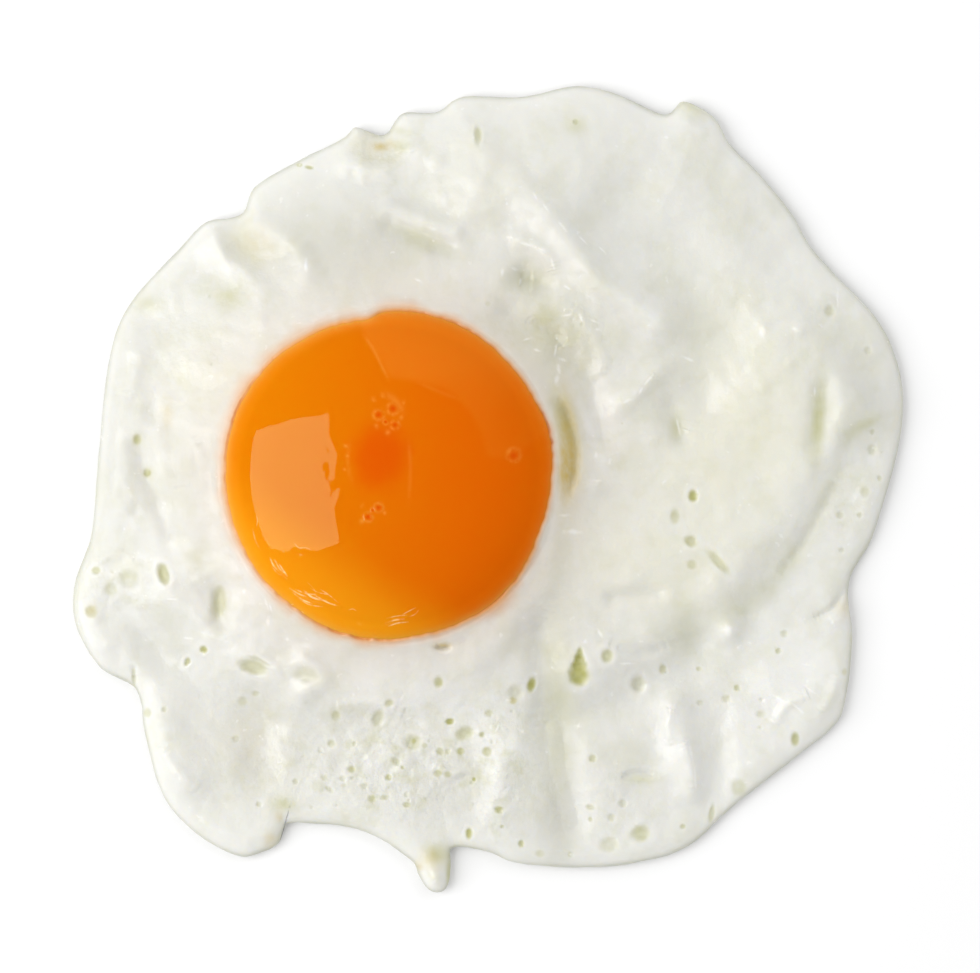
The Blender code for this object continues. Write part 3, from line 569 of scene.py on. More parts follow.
# Bubbles, specks and creases in the yolk's skin: plan point and radius in plan steps; lines of plan points
SKIN_BUBBLES = (
    ((396, 411), 5.0), ((382, 417), 4.5), ((398, 427), 4.0), ((382, 507), 4.0), ((372, 516), 4.0),
    ((513, 456), 5.5), ((389, 424), 2.5), ((377, 509), 2.5),
)
SKIN_SPECKS = (
    ((377, 402), 1.8), ((386, 398), 1.8), ((404, 420), 1.8), ((391, 434), 2.2), ((406, 405), 1.6),
    ((380, 428), 1.8), ((366, 520), 2.2), ((388, 512), 1.6), ((350, 447), 1.8), ((352, 457), 1.6),
    ((349, 470), 1.4), ((366, 505), 1.4), ((301, 620), 2.0), ((335, 633), 2.0), ((363, 621), 1.6),
)
SKIN_CREASES = (
    (((411, 448), (414, 475), (413, 507)), 0.015, 0.3), (((279, 560), (285, 568), (292, 576)), 0.06, 0.2),
    (((296, 586), (318, 598), (344, 604)), 0.06, 0.2), (((389, 620), (399, 618), (409, 614)), 0.05, 0.2),
    (((334, 412), (334, 436), (343, 456), (340, 476)), 0.05, 0.45),
    (((345, 492), (339, 508), (344, 540)), 0.05, 0.45), (((300, 545), (322, 549), (342, 542)), 0.04, 0.4),
    (((372, 322), (378, 316), (384, 314)), 0.08, 0.4),
)


def plan(points):
    """Points of the plan view, as X and Y in mm."""
    return (np.array(points, float) - PLAN_ORIGIN) * (PLAN_STEP, -PLAN_STEP)


def in_mm(length):
    """A length property, which Blender keeps in metres, in mm."""
    return length / MM


class WhiteSettings(bpy.types.PropertyGroup):
    """Sizes and colours of the white."""

    thick_level: bpy.props.FloatProperty(
        name="Thick white", description="Level of the thick white away from the yolk",
        default=5.1 * MM, min=2 * MM, max=9 * MM, unit="LENGTH", precision=4)
    thin_level: bpy.props.FloatProperty(
        name="Thin white", description="Level of the thin white near the rim",
        default=2.4 * MM, min=1.5 * MM, max=5 * MM, unit="LENGTH", precision=4)
    lip_level: bpy.props.FloatProperty(
        name="Lip", description="Level at which the white meets the yolk",
        default=8.9 * MM, min=8 * MM, max=11 * MM, unit="LENGTH", precision=4)
    lump_height: bpy.props.FloatProperty(
        name="Lumps", description="Height of the broad uneven lumps of the surface",
        default=0.3 * MM, min=0, max=MM, unit="LENGTH", precision=5)
    froth_height: bpy.props.FloatProperty(
        name="Froth", description="Height of the fine lumps where the white has frothed",
        default=0.16 * MM, min=0, max=MM, unit="LENGTH", precision=5)
    rim_unevenness: bpy.props.FloatProperty(
        name="Rim unevenness", description="How far the rim wanders from its smooth outline",
        default=0.14 * MM, min=0, max=0.5 * MM, unit="LENGTH", precision=5)
    set_colour: bpy.props.FloatVectorProperty(
        name="Set white", description="Colour of the plain cooked white",
        default=(0.735, 0.733, 0.69, 1), min=0, max=1, size=4, subtype="COLOR")
    # Whiter white and painted light: the colour of the whiter places, of lit ridges and of the bubbles'
    # bright banks
    whiter_and_lit_colour: bpy.props.FloatVectorProperty(
        name="Brightest white", description="Colour of the most opaque, brightest white",
        default=(0.84, 0.84, 0.81, 1), min=0, max=1, size=4, subtype="COLOR")
    cream_colour: bpy.props.FloatVectorProperty(
        name="Thick white", description="Colour of the thickest, creamiest white",
        default=(0.795, 0.785, 0.685, 1), min=0, max=1, size=4, subtype="COLOR")
    thin_colour: bpy.props.FloatVectorProperty(
        name="Thin rim", description="Colour of the thin white at the rim, which light passes through",
        default=(0.825, 0.825, 0.79, 1), min=0, max=1, size=4, subtype="COLOR")
    olive_colour: bpy.props.FloatVectorProperty(
        name="Hollows", description="Greenish colour of half-set white in hollows and burst bubbles",
        default=(0.50, 0.495, 0.20, 1), min=0, max=1, size=4, subtype="COLOR")
    # A brown tint laid where the brown patches lie: small specks, the crevice beside the yolk and the slit
    # under it
    brown_colour: bpy.props.FloatVectorProperty(
        name="Fat stains", description="Colour of the stains that the frying fat leaves",
        default=(0.60, 0.475, 0.155, 1), min=0, max=1, size=4, subtype="COLOR")
    # Painted highlight: near-white spots painted where the wet white catches the light
    painted_glint_colour: bpy.props.FloatVectorProperty(
        name="Glints", description="Colour of the small wet glints",
        default=(0.95, 0.95, 0.94, 1), min=0, max=1, size=4, subtype="COLOR")
    # Painted shade: grey mixed into the white where it lies in shade
    painted_shade_colour: bpy.props.FloatVectorProperty(
        name="Greyer places", description="Colour of the greyer, more watery places",
        default=(0.55, 0.545, 0.49, 1), min=0, max=1, size=4, subtype="COLOR")
    # Painted shade: the darker line along the rim stands in for the shade of its rounded edge
    painted_rim_shade_colour: bpy.props.FloatVectorProperty(
        name="Brim", description="Colour of the darker line along the rim",
        default=(0.50, 0.505, 0.43, 1), min=0, max=1, size=4, subtype="COLOR")
    # Painted glow: the yolk's light passing out into the white, painted into its colour
    painted_glow_colour: bpy.props.FloatVectorProperty(
        name="Blush", description="Colour of the white where the yolk glows through it",
        default=(0.70, 0.30, 0.06, 1), min=0, max=1, size=4, subtype="COLOR")


class YolkSettings(bpy.types.PropertyGroup):
    """Sizes and colours of the yolk."""

    skin_bubble_height: bpy.props.FloatProperty(
        name="Skin bubbles", description="Height of the bubbles trapped in the yolk's skin",
        default=0.035 * MM, min=0, max=0.5 * MM, unit="LENGTH", precision=5)
    waviness: bpy.props.FloatProperty(
        name="Waviness", description="Height of the slow waves in the yolk's skin",
        default=0.035 * MM, min=0, max=0.3 * MM, unit="LENGTH", precision=5)
    raggedness: bpy.props.FloatProperty(
        name="Raggedness", description="Height of the small waves where the skin is ragged",
        default=0.03 * MM, min=0, max=0.1 * MM, unit="LENGTH", precision=6)
    # Painted light and shade: the left side painted lighter, as the softbox lights it, the right side darker
    painted_lit_side_colour: bpy.props.FloatVectorProperty(
        name="Left side", description="Colour of the yolk's left side",
        default=(0.70, 0.195, 0.001, 1), min=0, max=1, size=4, subtype="COLOR")
    painted_shaded_side_colour: bpy.props.FloatVectorProperty(
        name="Right side", description="Colour of the yolk's right side",
        default=(0.73, 0.132, 0.001, 1), min=0, max=1, size=4, subtype="COLOR")
    germ_colour: bpy.props.FloatVectorProperty(
        name="Middle", description="Colour of the redder spot near the middle of the yolk",
        default=(0.70, 0.083, 0.001, 1), min=0, max=1, size=4, subtype="COLOR")
    # Painted reflection: the paler sheen stands in for a light reflected on the upper right
    painted_sheen_colour: bpy.props.FloatVectorProperty(
        name="Sheen", description="Colour of the paler sheen on the yolk's upper right",
        default=(0.77, 0.205, 0.012, 1), min=0, max=1, size=4, subtype="COLOR")
    mark_colour: bpy.props.FloatVectorProperty(
        name="Marks", description="Colour of the rings round the bubbles in the yolk's skin",
        default=(0.90, 0.40, 0.06, 1), min=0, max=1, size=4, subtype="COLOR")
    # Painted glow: the yolk painted paler where light passes through its edge, under the film of white
    painted_edge_glow_colour: bpy.props.FloatVectorProperty(
        name="Fringe", description="Paler colour of the yolk close to the white",
        default=(0.85, 0.40, 0.08, 1), min=0, max=1, size=4, subtype="COLOR")
    # Painted highlight: bright streaks painted where creases in the yolk's skin catch the light
    painted_glint_colour: bpy.props.FloatVectorProperty(
        name="Scratches", description="Colour of the bright scratches in the yolk's skin",
        default=(1.0, 0.72, 0.36, 1), min=0, max=1, size=4, subtype="COLOR")
    # Painted light: the lower left edge painted yellower and lighter, where light passes through it
    painted_lit_edge_colour: bpy.props.FloatVectorProperty(
        name="Lower edge", description="Yellower colour of the yolk's lower edge",
        default=(0.80, 0.285, 0.005, 1), min=0, max=1, size=4, subtype="COLOR")


class StageSettings(bpy.types.PropertyGroup):
    """The floor, the lights and the camera."""

    softbox_radiance: bpy.props.FloatProperty(
        name="Softbox", description="Radiance of the square softbox on the left",
        default=3.0, min=0, max=20)
    panel_radiance: bpy.props.FloatProperty(
        name="Fill panel", description="Radiance of the large dim panel on the upper right",
        default=0.9, min=0, max=20)
    ambient: bpy.props.FloatProperty(
        name="Room", description="Strength of the even light from all round",
        default=0.63, min=0, max=5)
    floor_colour: bpy.props.FloatVectorProperty(
        name="Floor", description="Colour of the floor",
        default=(0.88, 0.88, 0.88, 1), min=0, max=1, size=4, subtype="COLOR")
    lens: bpy.props.FloatProperty(
        name="Lens", description="Focal length of the camera, which looks straight down",
        default=150, min=20, max=300, unit="CAMERA")


def catmull_rom(before, start, end, beyond, t):
    """The point of a Catmull-Rom curve at a share t of the way from start to end."""
    return 0.5 * (2 * start + (end - before) * t
                  + (2 * before - 5 * start + 4 * end - beyond) * t ** 2
                  + (3 * start - before - 3 * end + beyond) * t ** 3)


def closed_spline(points):
    """Points along a closed smooth curve through the given points."""
    knots = np.array(points, float)
    before, after, beyond = (np.roll(knots, n, axis=0) for n in (1, -1, -2))
    spans = [catmull_rom(before, knots, after, beyond, t) for t in np.arange(SPLINE_STEPS) / SPLINE_STEPS]
    return np.stack(spans, axis=1).reshape(-1, 2)


def open_spline(points):
    """Points along an open smooth curve through the given points."""
    knots = np.array(points, float)
    knots = np.vstack([2 * knots[0] - knots[1], knots, 2 * knots[-1] - knots[-2]])
    spans = [catmull_rom(*span, t) for span in zip(knots, knots[1:], knots[2:], knots[3:])
             for t in np.arange(STROKE_STEPS) / STROKE_STEPS]
    return np.array(spans + [knots[-2]])


def spaced_along(loop, count):
    """Points at equal steps along the loop, crowded where it bends, as round the drip."""
    sides = np.roll(loop, -1, axis=0) - loop
    headings = np.arctan2(sides[:, 1], sides[:, 0])
    bends = np.abs((np.roll(headings, -1) - headings + math.pi) % math.tau - math.pi)
    steps = np.hypot(*sides.T) + BEND_CROWDING * (bends + np.roll(bends, 1)) / 2
    travelled = np.concatenate([[0], np.cumsum(steps)])
    closed = np.vstack([loop, loop[:1]])
    wanted = np.arange(count) / count * travelled[-1]
    return np.stack([np.interp(wanted, travelled, closed[:, i]) for i in (0, 1)], axis=1)


def distance_to_segment(points, start, end):
    """Distance of each point to the straight line between two ends."""
    along = end - start
    share = ((points - start) * along).sum(axis=1) / np.maximum((along * along).sum(axis=-1), 1e-9)
    nearest = start + np.clip(share, 0, 1)[:, None] * along
    return np.hypot(*(points - nearest).T)


def distance_to_line(points, line):
    """Distance of each point to the nearest part of a line of points."""
    ends = np.array(line, float)
    return np.min([distance_to_segment(points, *pair) for pair in zip(ends, ends[1:])], axis=0)


def within(points, line, reach):
    """Which points lie in the box round a line of points, widened by the reach."""
    ends = np.atleast_2d(line)
    low, high = ends.min(axis=0) - reach, ends.max(axis=0) + reach
    return ((points > low) & (points < high)).all(axis=1)


class Loop:
    """A closed smooth curve that tells how deep inside it a point lies."""

    def __init__(self, knots):
        self.points = closed_spline(knots)
        x, y = self.points.T
        if (x * np.roll(y, -1) - np.roll(x, -1) * y).sum() < 0:
            self.points = self.points[::-1]
        self.tree = kdtree.KDTree(len(self.points))
        for i, (x, y) in enumerate(self.points):
            self.tree.insert((x, y, 0), i)
        self.tree.balance()

    def depth(self, points):
        """Distance of each point to the loop, positive inside it and negative outside."""
        nearest = np.array([self.tree.find((x, y, 0))[1] for x, y in points])
        depth = np.full(len(points), np.inf)
        for step in (-1, 0):
            start = self.points[(nearest + step) % len(self.points)]
            end = self.points[(nearest + step + 1) % len(self.points)]
            distance = distance_to_segment(points, start, end)
            side = (end - start)[:, 0] * (points - start)[:, 1] - (end - start)[:, 1] * (points - start)[:, 0]
            depth = np.where(distance < np.abs(depth), np.where(side >= 0, distance, -distance), depth)
        return depth


def smooth_step(share):
    """A smooth ramp: 0 and level up to share 0, 1 and level from share 1 on."""
    share = np.clip(share, 0, 1)
    return share * share * (3 - 2 * share)


def rounded(share):
    """A quarter circle: 0 at an edge, 1 and level from share 1 on."""
    return np.sqrt(1 - (1 - np.clip(share, 0, 1)) ** 2)


def soft_maximum(a, b, blend):
    """The larger of two levels, with the corner between them rounded over the blend's height."""
    share = np.clip(0.5 + (a - b) / (2 * blend), 0, 1)
    return b + (a - b) * share + blend * share * (1 - share)


def lumps(points, size, octaves, seed):
    """Lumpy noise of about -1 to 1 at each point, with lumps of the given size."""
    return np.array([noise.fractal((x / size, y / size, seed), 1.0, 2.0, octaves) for x, y in points])


def ellipse_share(points, middle, half_width, half_height, bearing):
    """Distance from an ellipse's middle, as a share of its reach that way. Sizes are in plan steps."""
    turn = math.radians(-bearing)
    east, north = (points - plan(middle)).T
    along = east * math.cos(turn) + north * math.sin(turn)
    across = north * math.cos(turn) - east * math.sin(turn)
    return np.hypot(along / (half_width * PLAN_STEP), across / (half_height * PLAN_STEP))


def patches(points, table):
    """Strength of a table of soft patches at each point, from 0 to 1."""
    clear = np.ones(len(points))
    for middle, half_width, half_height, *turned, strength in table:
        near = within(points, plan(middle), PATCH_CUTOFF * max(half_width, half_height) * PLAN_STEP)
        share = ellipse_share(points[near], middle, half_width, half_height, turned[0] if turned else 0)
        clear[near] *= 1 - strength * np.exp(-share ** 2)
    return 1 - clear


def bearing_and_radius(points):
    """Bearing in degrees and distance in mm of each point from the yolk's centre."""
    east, north = (points - YOLK_CENTRE).T
    return np.degrees(np.arctan2(north, east)), np.hypot(east, north)


def yolk_reach(level, clearance=0.0):
    """Radius of the yolk's skin at a level, or of a skin that stands clear of it."""
    above = level >= YOLK_WIDEST_LEVEL
    height = np.where(above, YOLK_TOP - YOLK_WIDEST_LEVEL, YOLK_WIDEST_LEVEL - YOLK_BOTTOM) + clearance
    share = np.clip(np.abs(level - YOLK_WIDEST_LEVEL) / height, 0, 1)
    fullness = np.where(above, 1, YOLK_UNDERSIDE_FULLNESS)
    return (YOLK_RADIUS + clearance) * (1 - share ** (2 / fullness)) ** (fullness / 2)


def dome_level(radius, clearance=0.0):
    """Level of the yolk's upper skin at a radius, or of a skin that stands clear of it."""
    share = np.clip(radius / (YOLK_RADIUS + clearance), 0, 1)
    return YOLK_WIDEST_LEVEL + (YOLK_TOP - YOLK_WIDEST_LEVEL + clearance) * np.sqrt(1 - share ** 2)


def smoothed_round(values, reach):
    """A closed run of values, each averaged with its neighbours out to the reach."""
    wrapped = np.concatenate([values[-reach:], values, values[:reach]])
    window = np.hanning(2 * reach + 1)
    return np.convolve(wrapped, window / window.sum(), mode="valid")


def round_table(table):
    """A table of bearings and values as one smoothed value for each degree."""
    bearings, values = np.array(table).T
    return smoothed_round(np.interp(np.arange(360), bearings, values, period=360), EDGE_SMOOTHING)


def uneven_round(values, height):
    """Values round the yolk, one for each degree, lowered by lumps of up to a height."""
    turns = np.radians(np.arange(360))
    circle = YOLK_RADIUS * np.stack([np.cos(turns), np.sin(turns)], axis=1)
    return values - height * np.abs(lumps(circle, *EDGE_LUMPS))


EDGE_BY_DEGREE = uneven_round(round_table(YOLK_EDGE) * PLAN_STEP, EDGE_UNEVENNESS)
GLOW_BY_DEGREE = round_table(GLOW_REACH)


def at_bearing(by_degree, bearing):
    """The value at each bearing of a run of values, one for each degree."""
    return np.interp(bearing, np.arange(360), by_degree, period=360)


def swell(points, line, amount, half_width):
    """Height at each point of a rounded ridge along a line, or of a furrow where the amount is below 0."""
    height = np.zeros(len(points))
    near = within(points, line, SWELL_CUTOFF * half_width)
    height[near] = amount * np.exp(-(distance_to_line(points[near], line) / half_width) ** 2)
    return height


def stroke(points, line, amount, half_width, power=2):
    """A smooth swell through the line's points that dies away towards both ends; the higher the power,
    the flatter its top."""
    path = open_spline(line)
    height = np.zeros(len(points))
    near = within(points, path, SWELL_CUTOFF * half_width)
    spot, distance, share = points[near], np.full(near.sum(), np.inf), np.zeros(near.sum())
    for i, (start, end) in enumerate(zip(path, path[1:])):
        here = distance_to_segment(spot, start, end)
        share = np.where(here < distance, (i + 0.5) / (len(path) - 1), share)
        distance = np.minimum(distance, here)
    fade = smooth_step(np.minimum(share, 1 - share) / STROKE_TAPER + STROKE_END)
    height[near] = amount * fade * np.exp(-(distance / half_width) ** power)
    return height


def ramp_inside(share, ramp):
    """A smooth ramp from 0 at the first share of a reach to 1 nearer the middle, as long as the second."""
    return smooth_step((ramp[0] - share) / ramp[1])


def raise_to(values, near, floor):
    """Raises the values near a spot to at least the given ones."""
    values[near] = np.maximum(values[near], floor)


def shortened_near(length, points, spots):
    """Lengths, cut to a spot's own where a point lies within its reach; a spot is a line of points, its
    reach and its length."""
    for line, reach, finest in spots:
        near = np.flatnonzero(within(points, line, reach))
        near = near[distance_to_line(points[near], line) < reach]
        length[near] = np.minimum(length[near], finest)
    return length


class WhiteForm:
    """The white's upper surface as a level at every point, and the masks that its material reads."""

    def __init__(self, settings):
        self.settings = settings
        self.rim = Loop(OUTLINE)
        self.thick_edge = Loop(THICK_WHITE)
        random = np.random.default_rng(FROTH_SEED)
        self.froth_bubbles = [self.froth_bubble(random) for _ in range(FROTH_BUBBLES)]

    def froth_bubble(self, random):
        """Middle in mm, radius and depth of one small bubble, in one of the frothy places."""
        weights = np.array([width * height * strength for _, width, height, strength in FROTH])
        middle, width, height, _ = FROTH[random.choice(len(FROTH), p=weights / weights.sum())]
        spot = plan(np.array(middle) + random.normal(size=2) * (width, height) / 2)
        radius = random.uniform(*FROTH_BUBBLE_SIZES)
        return spot, radius, radius * random.uniform(*FROTH_BUBBLE_DEPTHS)

    def main_relief(self, points):
        """Height that the ridges and valleys add."""
        height = np.zeros(len(points))
        for features, sign in ((RIDGES, 1), (VALLEYS, -1)):
            for line, amount, half_width in features.values():
                height += sign * swell(points, line, amount, half_width)
        return height

    def fine_relief(self, points, froth):
        """Height that the folds, domes, crevice and lumps add."""
        height = np.zeros(len(points))
        for line, amount, half_width in STROKES.values():
            height += stroke(points, plan(line), amount, half_width)
        for middle, amount, radius in DOMES:
            height += swell(points, plan((middle, middle)), amount, radius)
        line, depth, half_width = CREVICE
        height -= stroke(points, plan(line), depth, half_width, power=4)
        height += in_mm(self.settings.lump_height) * lumps(points, *BROAD_LUMPS)
        height += in_mm(self.settings.froth_height) * froth * lumps(points, *FROTH_LUMPS)
        height += FINE_LUMP_HEIGHT * lumps(points, *FINE_LUMPS)
        return height

    def bubble_marks(self, points):
        """Height that the burst bubbles add, how far inside one each point lies, and their bright banks."""
        bank, hollow, inside, bright = np.zeros((4, len(points)))
        bank_height, bank_middle, bank_width = BUBBLE_BANK
        for middle, width, tall, bearing, depth, tint in BUBBLES:
            depth *= SMALL_BUBBLE_DEPTH if min(width, tall) < SMALL_BUBBLE else 1
            near = within(points, plan(middle), BUBBLE_CUTOFF * max(width, tall) * PLAN_STEP)
            share = ellipse_share(points[near], middle, width, tall, bearing)
            share = share * (1 + BUBBLE_WOBBLE * lumps(points[near], *BUBBLE_LUMPS))
            ring = np.exp(-((share - bank_middle) / bank_width) ** 2)
            raise_to(bank, near, bank_height * min(1, depth / FULL_BANK_DEPTH) * ring)
            raise_to(bright, near, BANK_BRIGHTNESS * min(1, depth / FULL_BRIGHT_DEPTH) * ring)
            raise_to(hollow, near, depth * ramp_inside(share, HOLLOW_RAMP))
            raise_to(inside, near, tint * ramp_inside(share, TINT_RAMP))
        for middle, radius, depth in self.froth_bubbles:
            near = within(points, middle, BUBBLE_CUTOFF * radius)
            share = np.hypot(*(points[near] - middle).T) / radius
            raise_to(hollow, near, depth * ramp_inside(share, FROTH_HOLLOW_RAMP))
            raise_to(inside, near, FROTH_TINT * ramp_inside(share, FROTH_TINT_RAMP))
        return bank - hollow, inside, bright

    def glints(self, points):
        """Where the painted glints lie, small wet spots painted as catching the light, from 0 to 1."""
        strength = np.zeros(len(points))
        for middle, *shape in PAINTED_GLINTS:
            near = within(points, plan(middle), GLINT_CUTOFF * max(shape[:2]) * PLAN_STEP)
            share = ellipse_share(points[near], middle, *shape)
            share = share * (1 + GLINT_WOBBLE * lumps(points[near], *GLINT_LUMPS))
            raise_to(strength, near, ramp_inside(share, GLINT_RAMP))
        return strength

    def thick_share(self, points, rim):
        """1 on the thick white, 0 on the thin, and little near the rim, whose distance is given."""
        thick = smooth_step(self.thick_edge.depth(points) / THICK_STEP_RUN + 0.5)
        return thick * (THICK_SHARE_AT_RIM + (1 - THICK_SHARE_AT_RIM) * smooth_step(rim / THICK_RISE_RUN))

    def survey(self, points):
        """The level of the upper surface, and the material's masks, at each point."""
        rim = np.maximum(self.rim.depth(points), 0)
        thick = self.thick_share(points, rim)
        froth = np.clip(patches(points, FROTH), 0, 1)
        marks, inside, banks = self.bubble_marks(points)
        thin_level, thick_level = in_mm(self.settings.thin_level), in_mm(self.settings.thick_level)
        lip_level = in_mm(self.settings.lip_level)
        plain = thin_level + (thick_level - thin_level) * thick
        level = np.maximum(plain + self.main_relief(points), LOWEST_LEVEL)
        bearing, radius = bearing_and_radius(points)
        climb = np.exp(-np.maximum(radius - LIP_RADIUS, 0) / COLLAR_RUN)
        level = level + (lip_level - level) * climb
        calm = smooth_step((radius - LIP_RADIUS) / CALM_RUN)
        level = level + calm * (self.fine_relief(points, froth) + marks)
        level = np.maximum(level, LOWEST_LEVEL / 2)
        level = EDGE_MIDDLE_LEVEL + (level - EDGE_MIDDLE_LEVEL) * rounded(rim / EDGE_TOP_RUN)
        edge = at_bearing(EDGE_BY_DEGREE, bearing)
        seam = np.minimum(edge, SEAM_LIMIT)
        thickness = np.clip(FILM_RISE * (radius - seam), FILM_ROOT, FILM_THICKNESS)
        on_yolk = dome_level(radius, np.maximum(thickness, 0)) + np.minimum(thickness, 0)
        share = smooth_step((radius - seam) / FILM_PARTING_RUN)
        lapped = on_yolk + share * (soft_maximum(on_yolk, level, FILM_FILLET) - on_yolk)
        level = np.where(radius < FILM_END, lapped, level)
        outside = np.maximum(radius - edge, 0)
        glow = at_bearing(GLOW_BY_DEGREE, bearing) * (1 + GLOW_WOBBLE * lumps(points, *GLOW_LUMPS))
        creamy = CREAM_ON_THIN + (1 - CREAM_ON_THIN) * thick
        masks = {
            "thin": THIN_SHARE * np.exp(-rim / THIN_WIDTH),
            # painted shade along the rounded rim
            "painted_rim_shade": np.exp(-(rim / PAINTED_RIM_SHADE_WIDTH) ** 2),
            # painted shade in greyer places
            "shade": patches(points, PAINTED_SHADE_PATCHES),
            "cream": np.clip(patches(points, CREAM_PATCHES) * creamy, 0, 1),
            "olive": np.clip(1 - (1 - patches(points, OLIVE_PATCHES)) * (1 - inside), 0, 1),
            "brown": patches(points, BROWN_PATCHES),
            # whiter white and painted light, with the bubbles' bright banks
            "bright": np.maximum(patches(points, WHITER_AND_LIT_PATCHES), banks),
            "froth": froth,
            # painted glints, where the wet white catches the light
            "glints": self.glints(points),
            # painted glow of the yolk's light in the white
            "painted_yolk_glow": np.maximum(np.exp(-(outside / glow) ** GLOW_POWER),
                                FAR_GLOW_SHARE * np.exp(-outside / FAR_GLOW_REACH)),
            "yolky": smooth_step(0.5 - (radius - edge) / YOLK_EDGE_BLUR),
            "lapped": 1 - smooth_step((radius - YOLK_RADIUS) / FILM_ZONE),
        }
        return level, masks

    def longest_edge(self, points):
        """The length that an edge may keep at each point."""
        froth = np.clip(patches(points, FROTH) * FROTH_FINENESS, 0, 1)
        length = PLAIN_EDGE + (FROTH_EDGE - PLAIN_EDGE) * froth
        spots = [(plan((middle, middle)), BUBBLE_ZONE * max(width, tall) * PLAN_STEP,
                  BUBBLE_EDGE + BUBBLE_EDGE_GROWTH * min(width, tall)) for middle, width, tall, *_ in BUBBLES]
        spots += [(plan((middle, middle)), GLINT_ZONE * max(width, tall) * PLAN_STEP, GLINT_EDGE)
                  for middle, width, tall, _ in PAINTED_GLINTS]
        spots += [(np.array((middle, middle)), FROTH_BUBBLE_ZONE * radius, BUBBLE_EDGE)
                  for middle, radius, _ in self.froth_bubbles]
        spots += [(plan(line), STROKE_ZONE * half_width, max(STROKE_EDGE, half_width / 3))
                  for line, _, half_width in STROKES.values()]
        length[np.abs(bearing_and_radius(points)[1] - YOLK_RADIUS) < FILM_ZONE] = FILM_EDGE
        return shortened_near(length, points, spots)


def spoke_bearings(rim):
    """Bearings of the rim's points from the yolk, smoothed so that they keep rising past a notch."""
    turns = np.unwrap(np.radians(bearing_and_radius(rim)[0]))
    even = np.arange(len(rim)) / len(rim) * math.tau
    drift = turns - turns[0] - even
    return (np.degrees(turns[0] + even + smoothed_round(drift, BEARING_SMOOTHING)) + 180) % 360 - 180


def uneven_rim(form):
    """The rim's points, moved a little in or out along the rim's own normals."""
    rim = spaced_along(form.rim.points, COLUMNS)
    along = np.roll(rim, -1, axis=0) - np.roll(rim, 1, axis=0)
    outward = np.stack([along[:, 1], -along[:, 0]], axis=1) / np.hypot(*along.T)[:, None]
    sway = np.minimum(lumps(rim, *RIM_LUMPS) - RIM_INSET, RIM_OUTSET)
    return rim + outward * (sway * in_mm(form.settings.rim_unevenness))[:, None]


def white_rings(form):
    """Rings of points from the pocket's floor up its wall, over the film and out round the rim, each
    with True where it belongs to the upper surface."""
    rim = uneven_rim(form)
    bearing = spoke_bearings(rim)
    spokes = np.stack([np.cos(np.radians(bearing)), np.sin(np.radians(bearing))], axis=1)
    rings = []
    for level in np.linspace(POCKET_FLOOR_LEVEL, YOLK_WIDEST_LEVEL, POCKET_RINGS):
        rings.append((YOLK_CENTRE + spokes * yolk_reach(level, POCKET_GAP), level, False))
    seam = np.minimum(at_bearing(EDGE_BY_DEGREE, bearing), SEAM_LIMIT)
    for offset in FILM_RING_OFFSETS:
        rings.append((YOLK_CENTRE + spokes * (seam + offset)[:, None], 0.0, True))
    lip = rings[-1][0]
    reach = np.hypot(*(rim - lip).T)
    edge_run = EDGE_RING_DISTANCES[0]
    distances = [reach - (reach - edge_run) * share ** TOP_RING_CROWDING
                 for share in np.linspace(0, 1, TOP_RINGS + 1)[1:-1]]
    distances += [np.full(COLUMNS, distance) for distance in EDGE_RING_DISTANCES]
    for distance in distances:
        rings.append((rim - (rim - lip) * (distance / reach)[:, None], 0.0, True))
    rings.append((rim, EDGE_MIDDLE_LEVEL, True))
    for distance in (EDGE_UNDER_RUN / 4, EDGE_UNDER_RUN):
        level = EDGE_MIDDLE_LEVEL * (1 - float(rounded(distance / EDGE_UNDER_RUN)))
        rings.append((rim - (rim - lip) * (distance / reach)[:, None], level, False))
    for share in UNDERSIDE_RINGS:
        rings.append((YOLK_CENTRE + (rim - YOLK_CENTRE) * share, 0.0, False))
    return rings


def extrude_rings(bm, rings, upper):
    """Extrudes ring after ring, and marks the vertices of the upper surface."""
    column = bm.verts.layers.int.new("column")
    first = bmesh.ops.create_circle(bm, segments=COLUMNS, radius=YOLK_RADIUS, cap_ends=False)
    for i, vert in enumerate(first["verts"]):
        vert[column] = i
    vertices, edges = first["verts"], list(bm.edges)
    for i, (places, level, is_upper) in enumerate(rings):
        if i:
            made = bmesh.ops.extrude_edge_only(bm, edges=edges)["geom"]
            vertices = [part for part in made if isinstance(part, bmesh.types.BMVert)]
            edges = [part for part in made if isinstance(part, bmesh.types.BMEdge) and part.is_boundary]
        levels = np.broadcast_to(level, COLUMNS)
        for vert in vertices:
            vert.co = (*places[vert[column]], levels[vert[column]])
            vert[upper] = float(is_upper)
    bmesh.ops.holes_fill(bm, edges=[edge for edge in bm.edges if edge.is_boundary], sides=0)


def split_long_edges(bm, longest_edge, upper):
    """Splits the upper surface's edges until none is longer than is allowed where it lies."""
    for _ in range(SPLIT_PASSES):
        edges = [edge for edge in bm.edges if all(vert[upper] > ALL_UPPER for vert in edge.verts)]
        ends = np.array([[vert.co.xy for vert in edge.verts] for edge in edges])
        lengths = np.hypot(*(ends[:, 1] - ends[:, 0]).T)
        too_long = lengths > longest_edge(ends.mean(axis=1))
        chosen = [edge for edge, long in zip(edges, too_long) if long]
        bmesh.ops.subdivide_edges(bm, edges=chosen, cuts=1, use_grid_fill=True, use_single_edge=True)


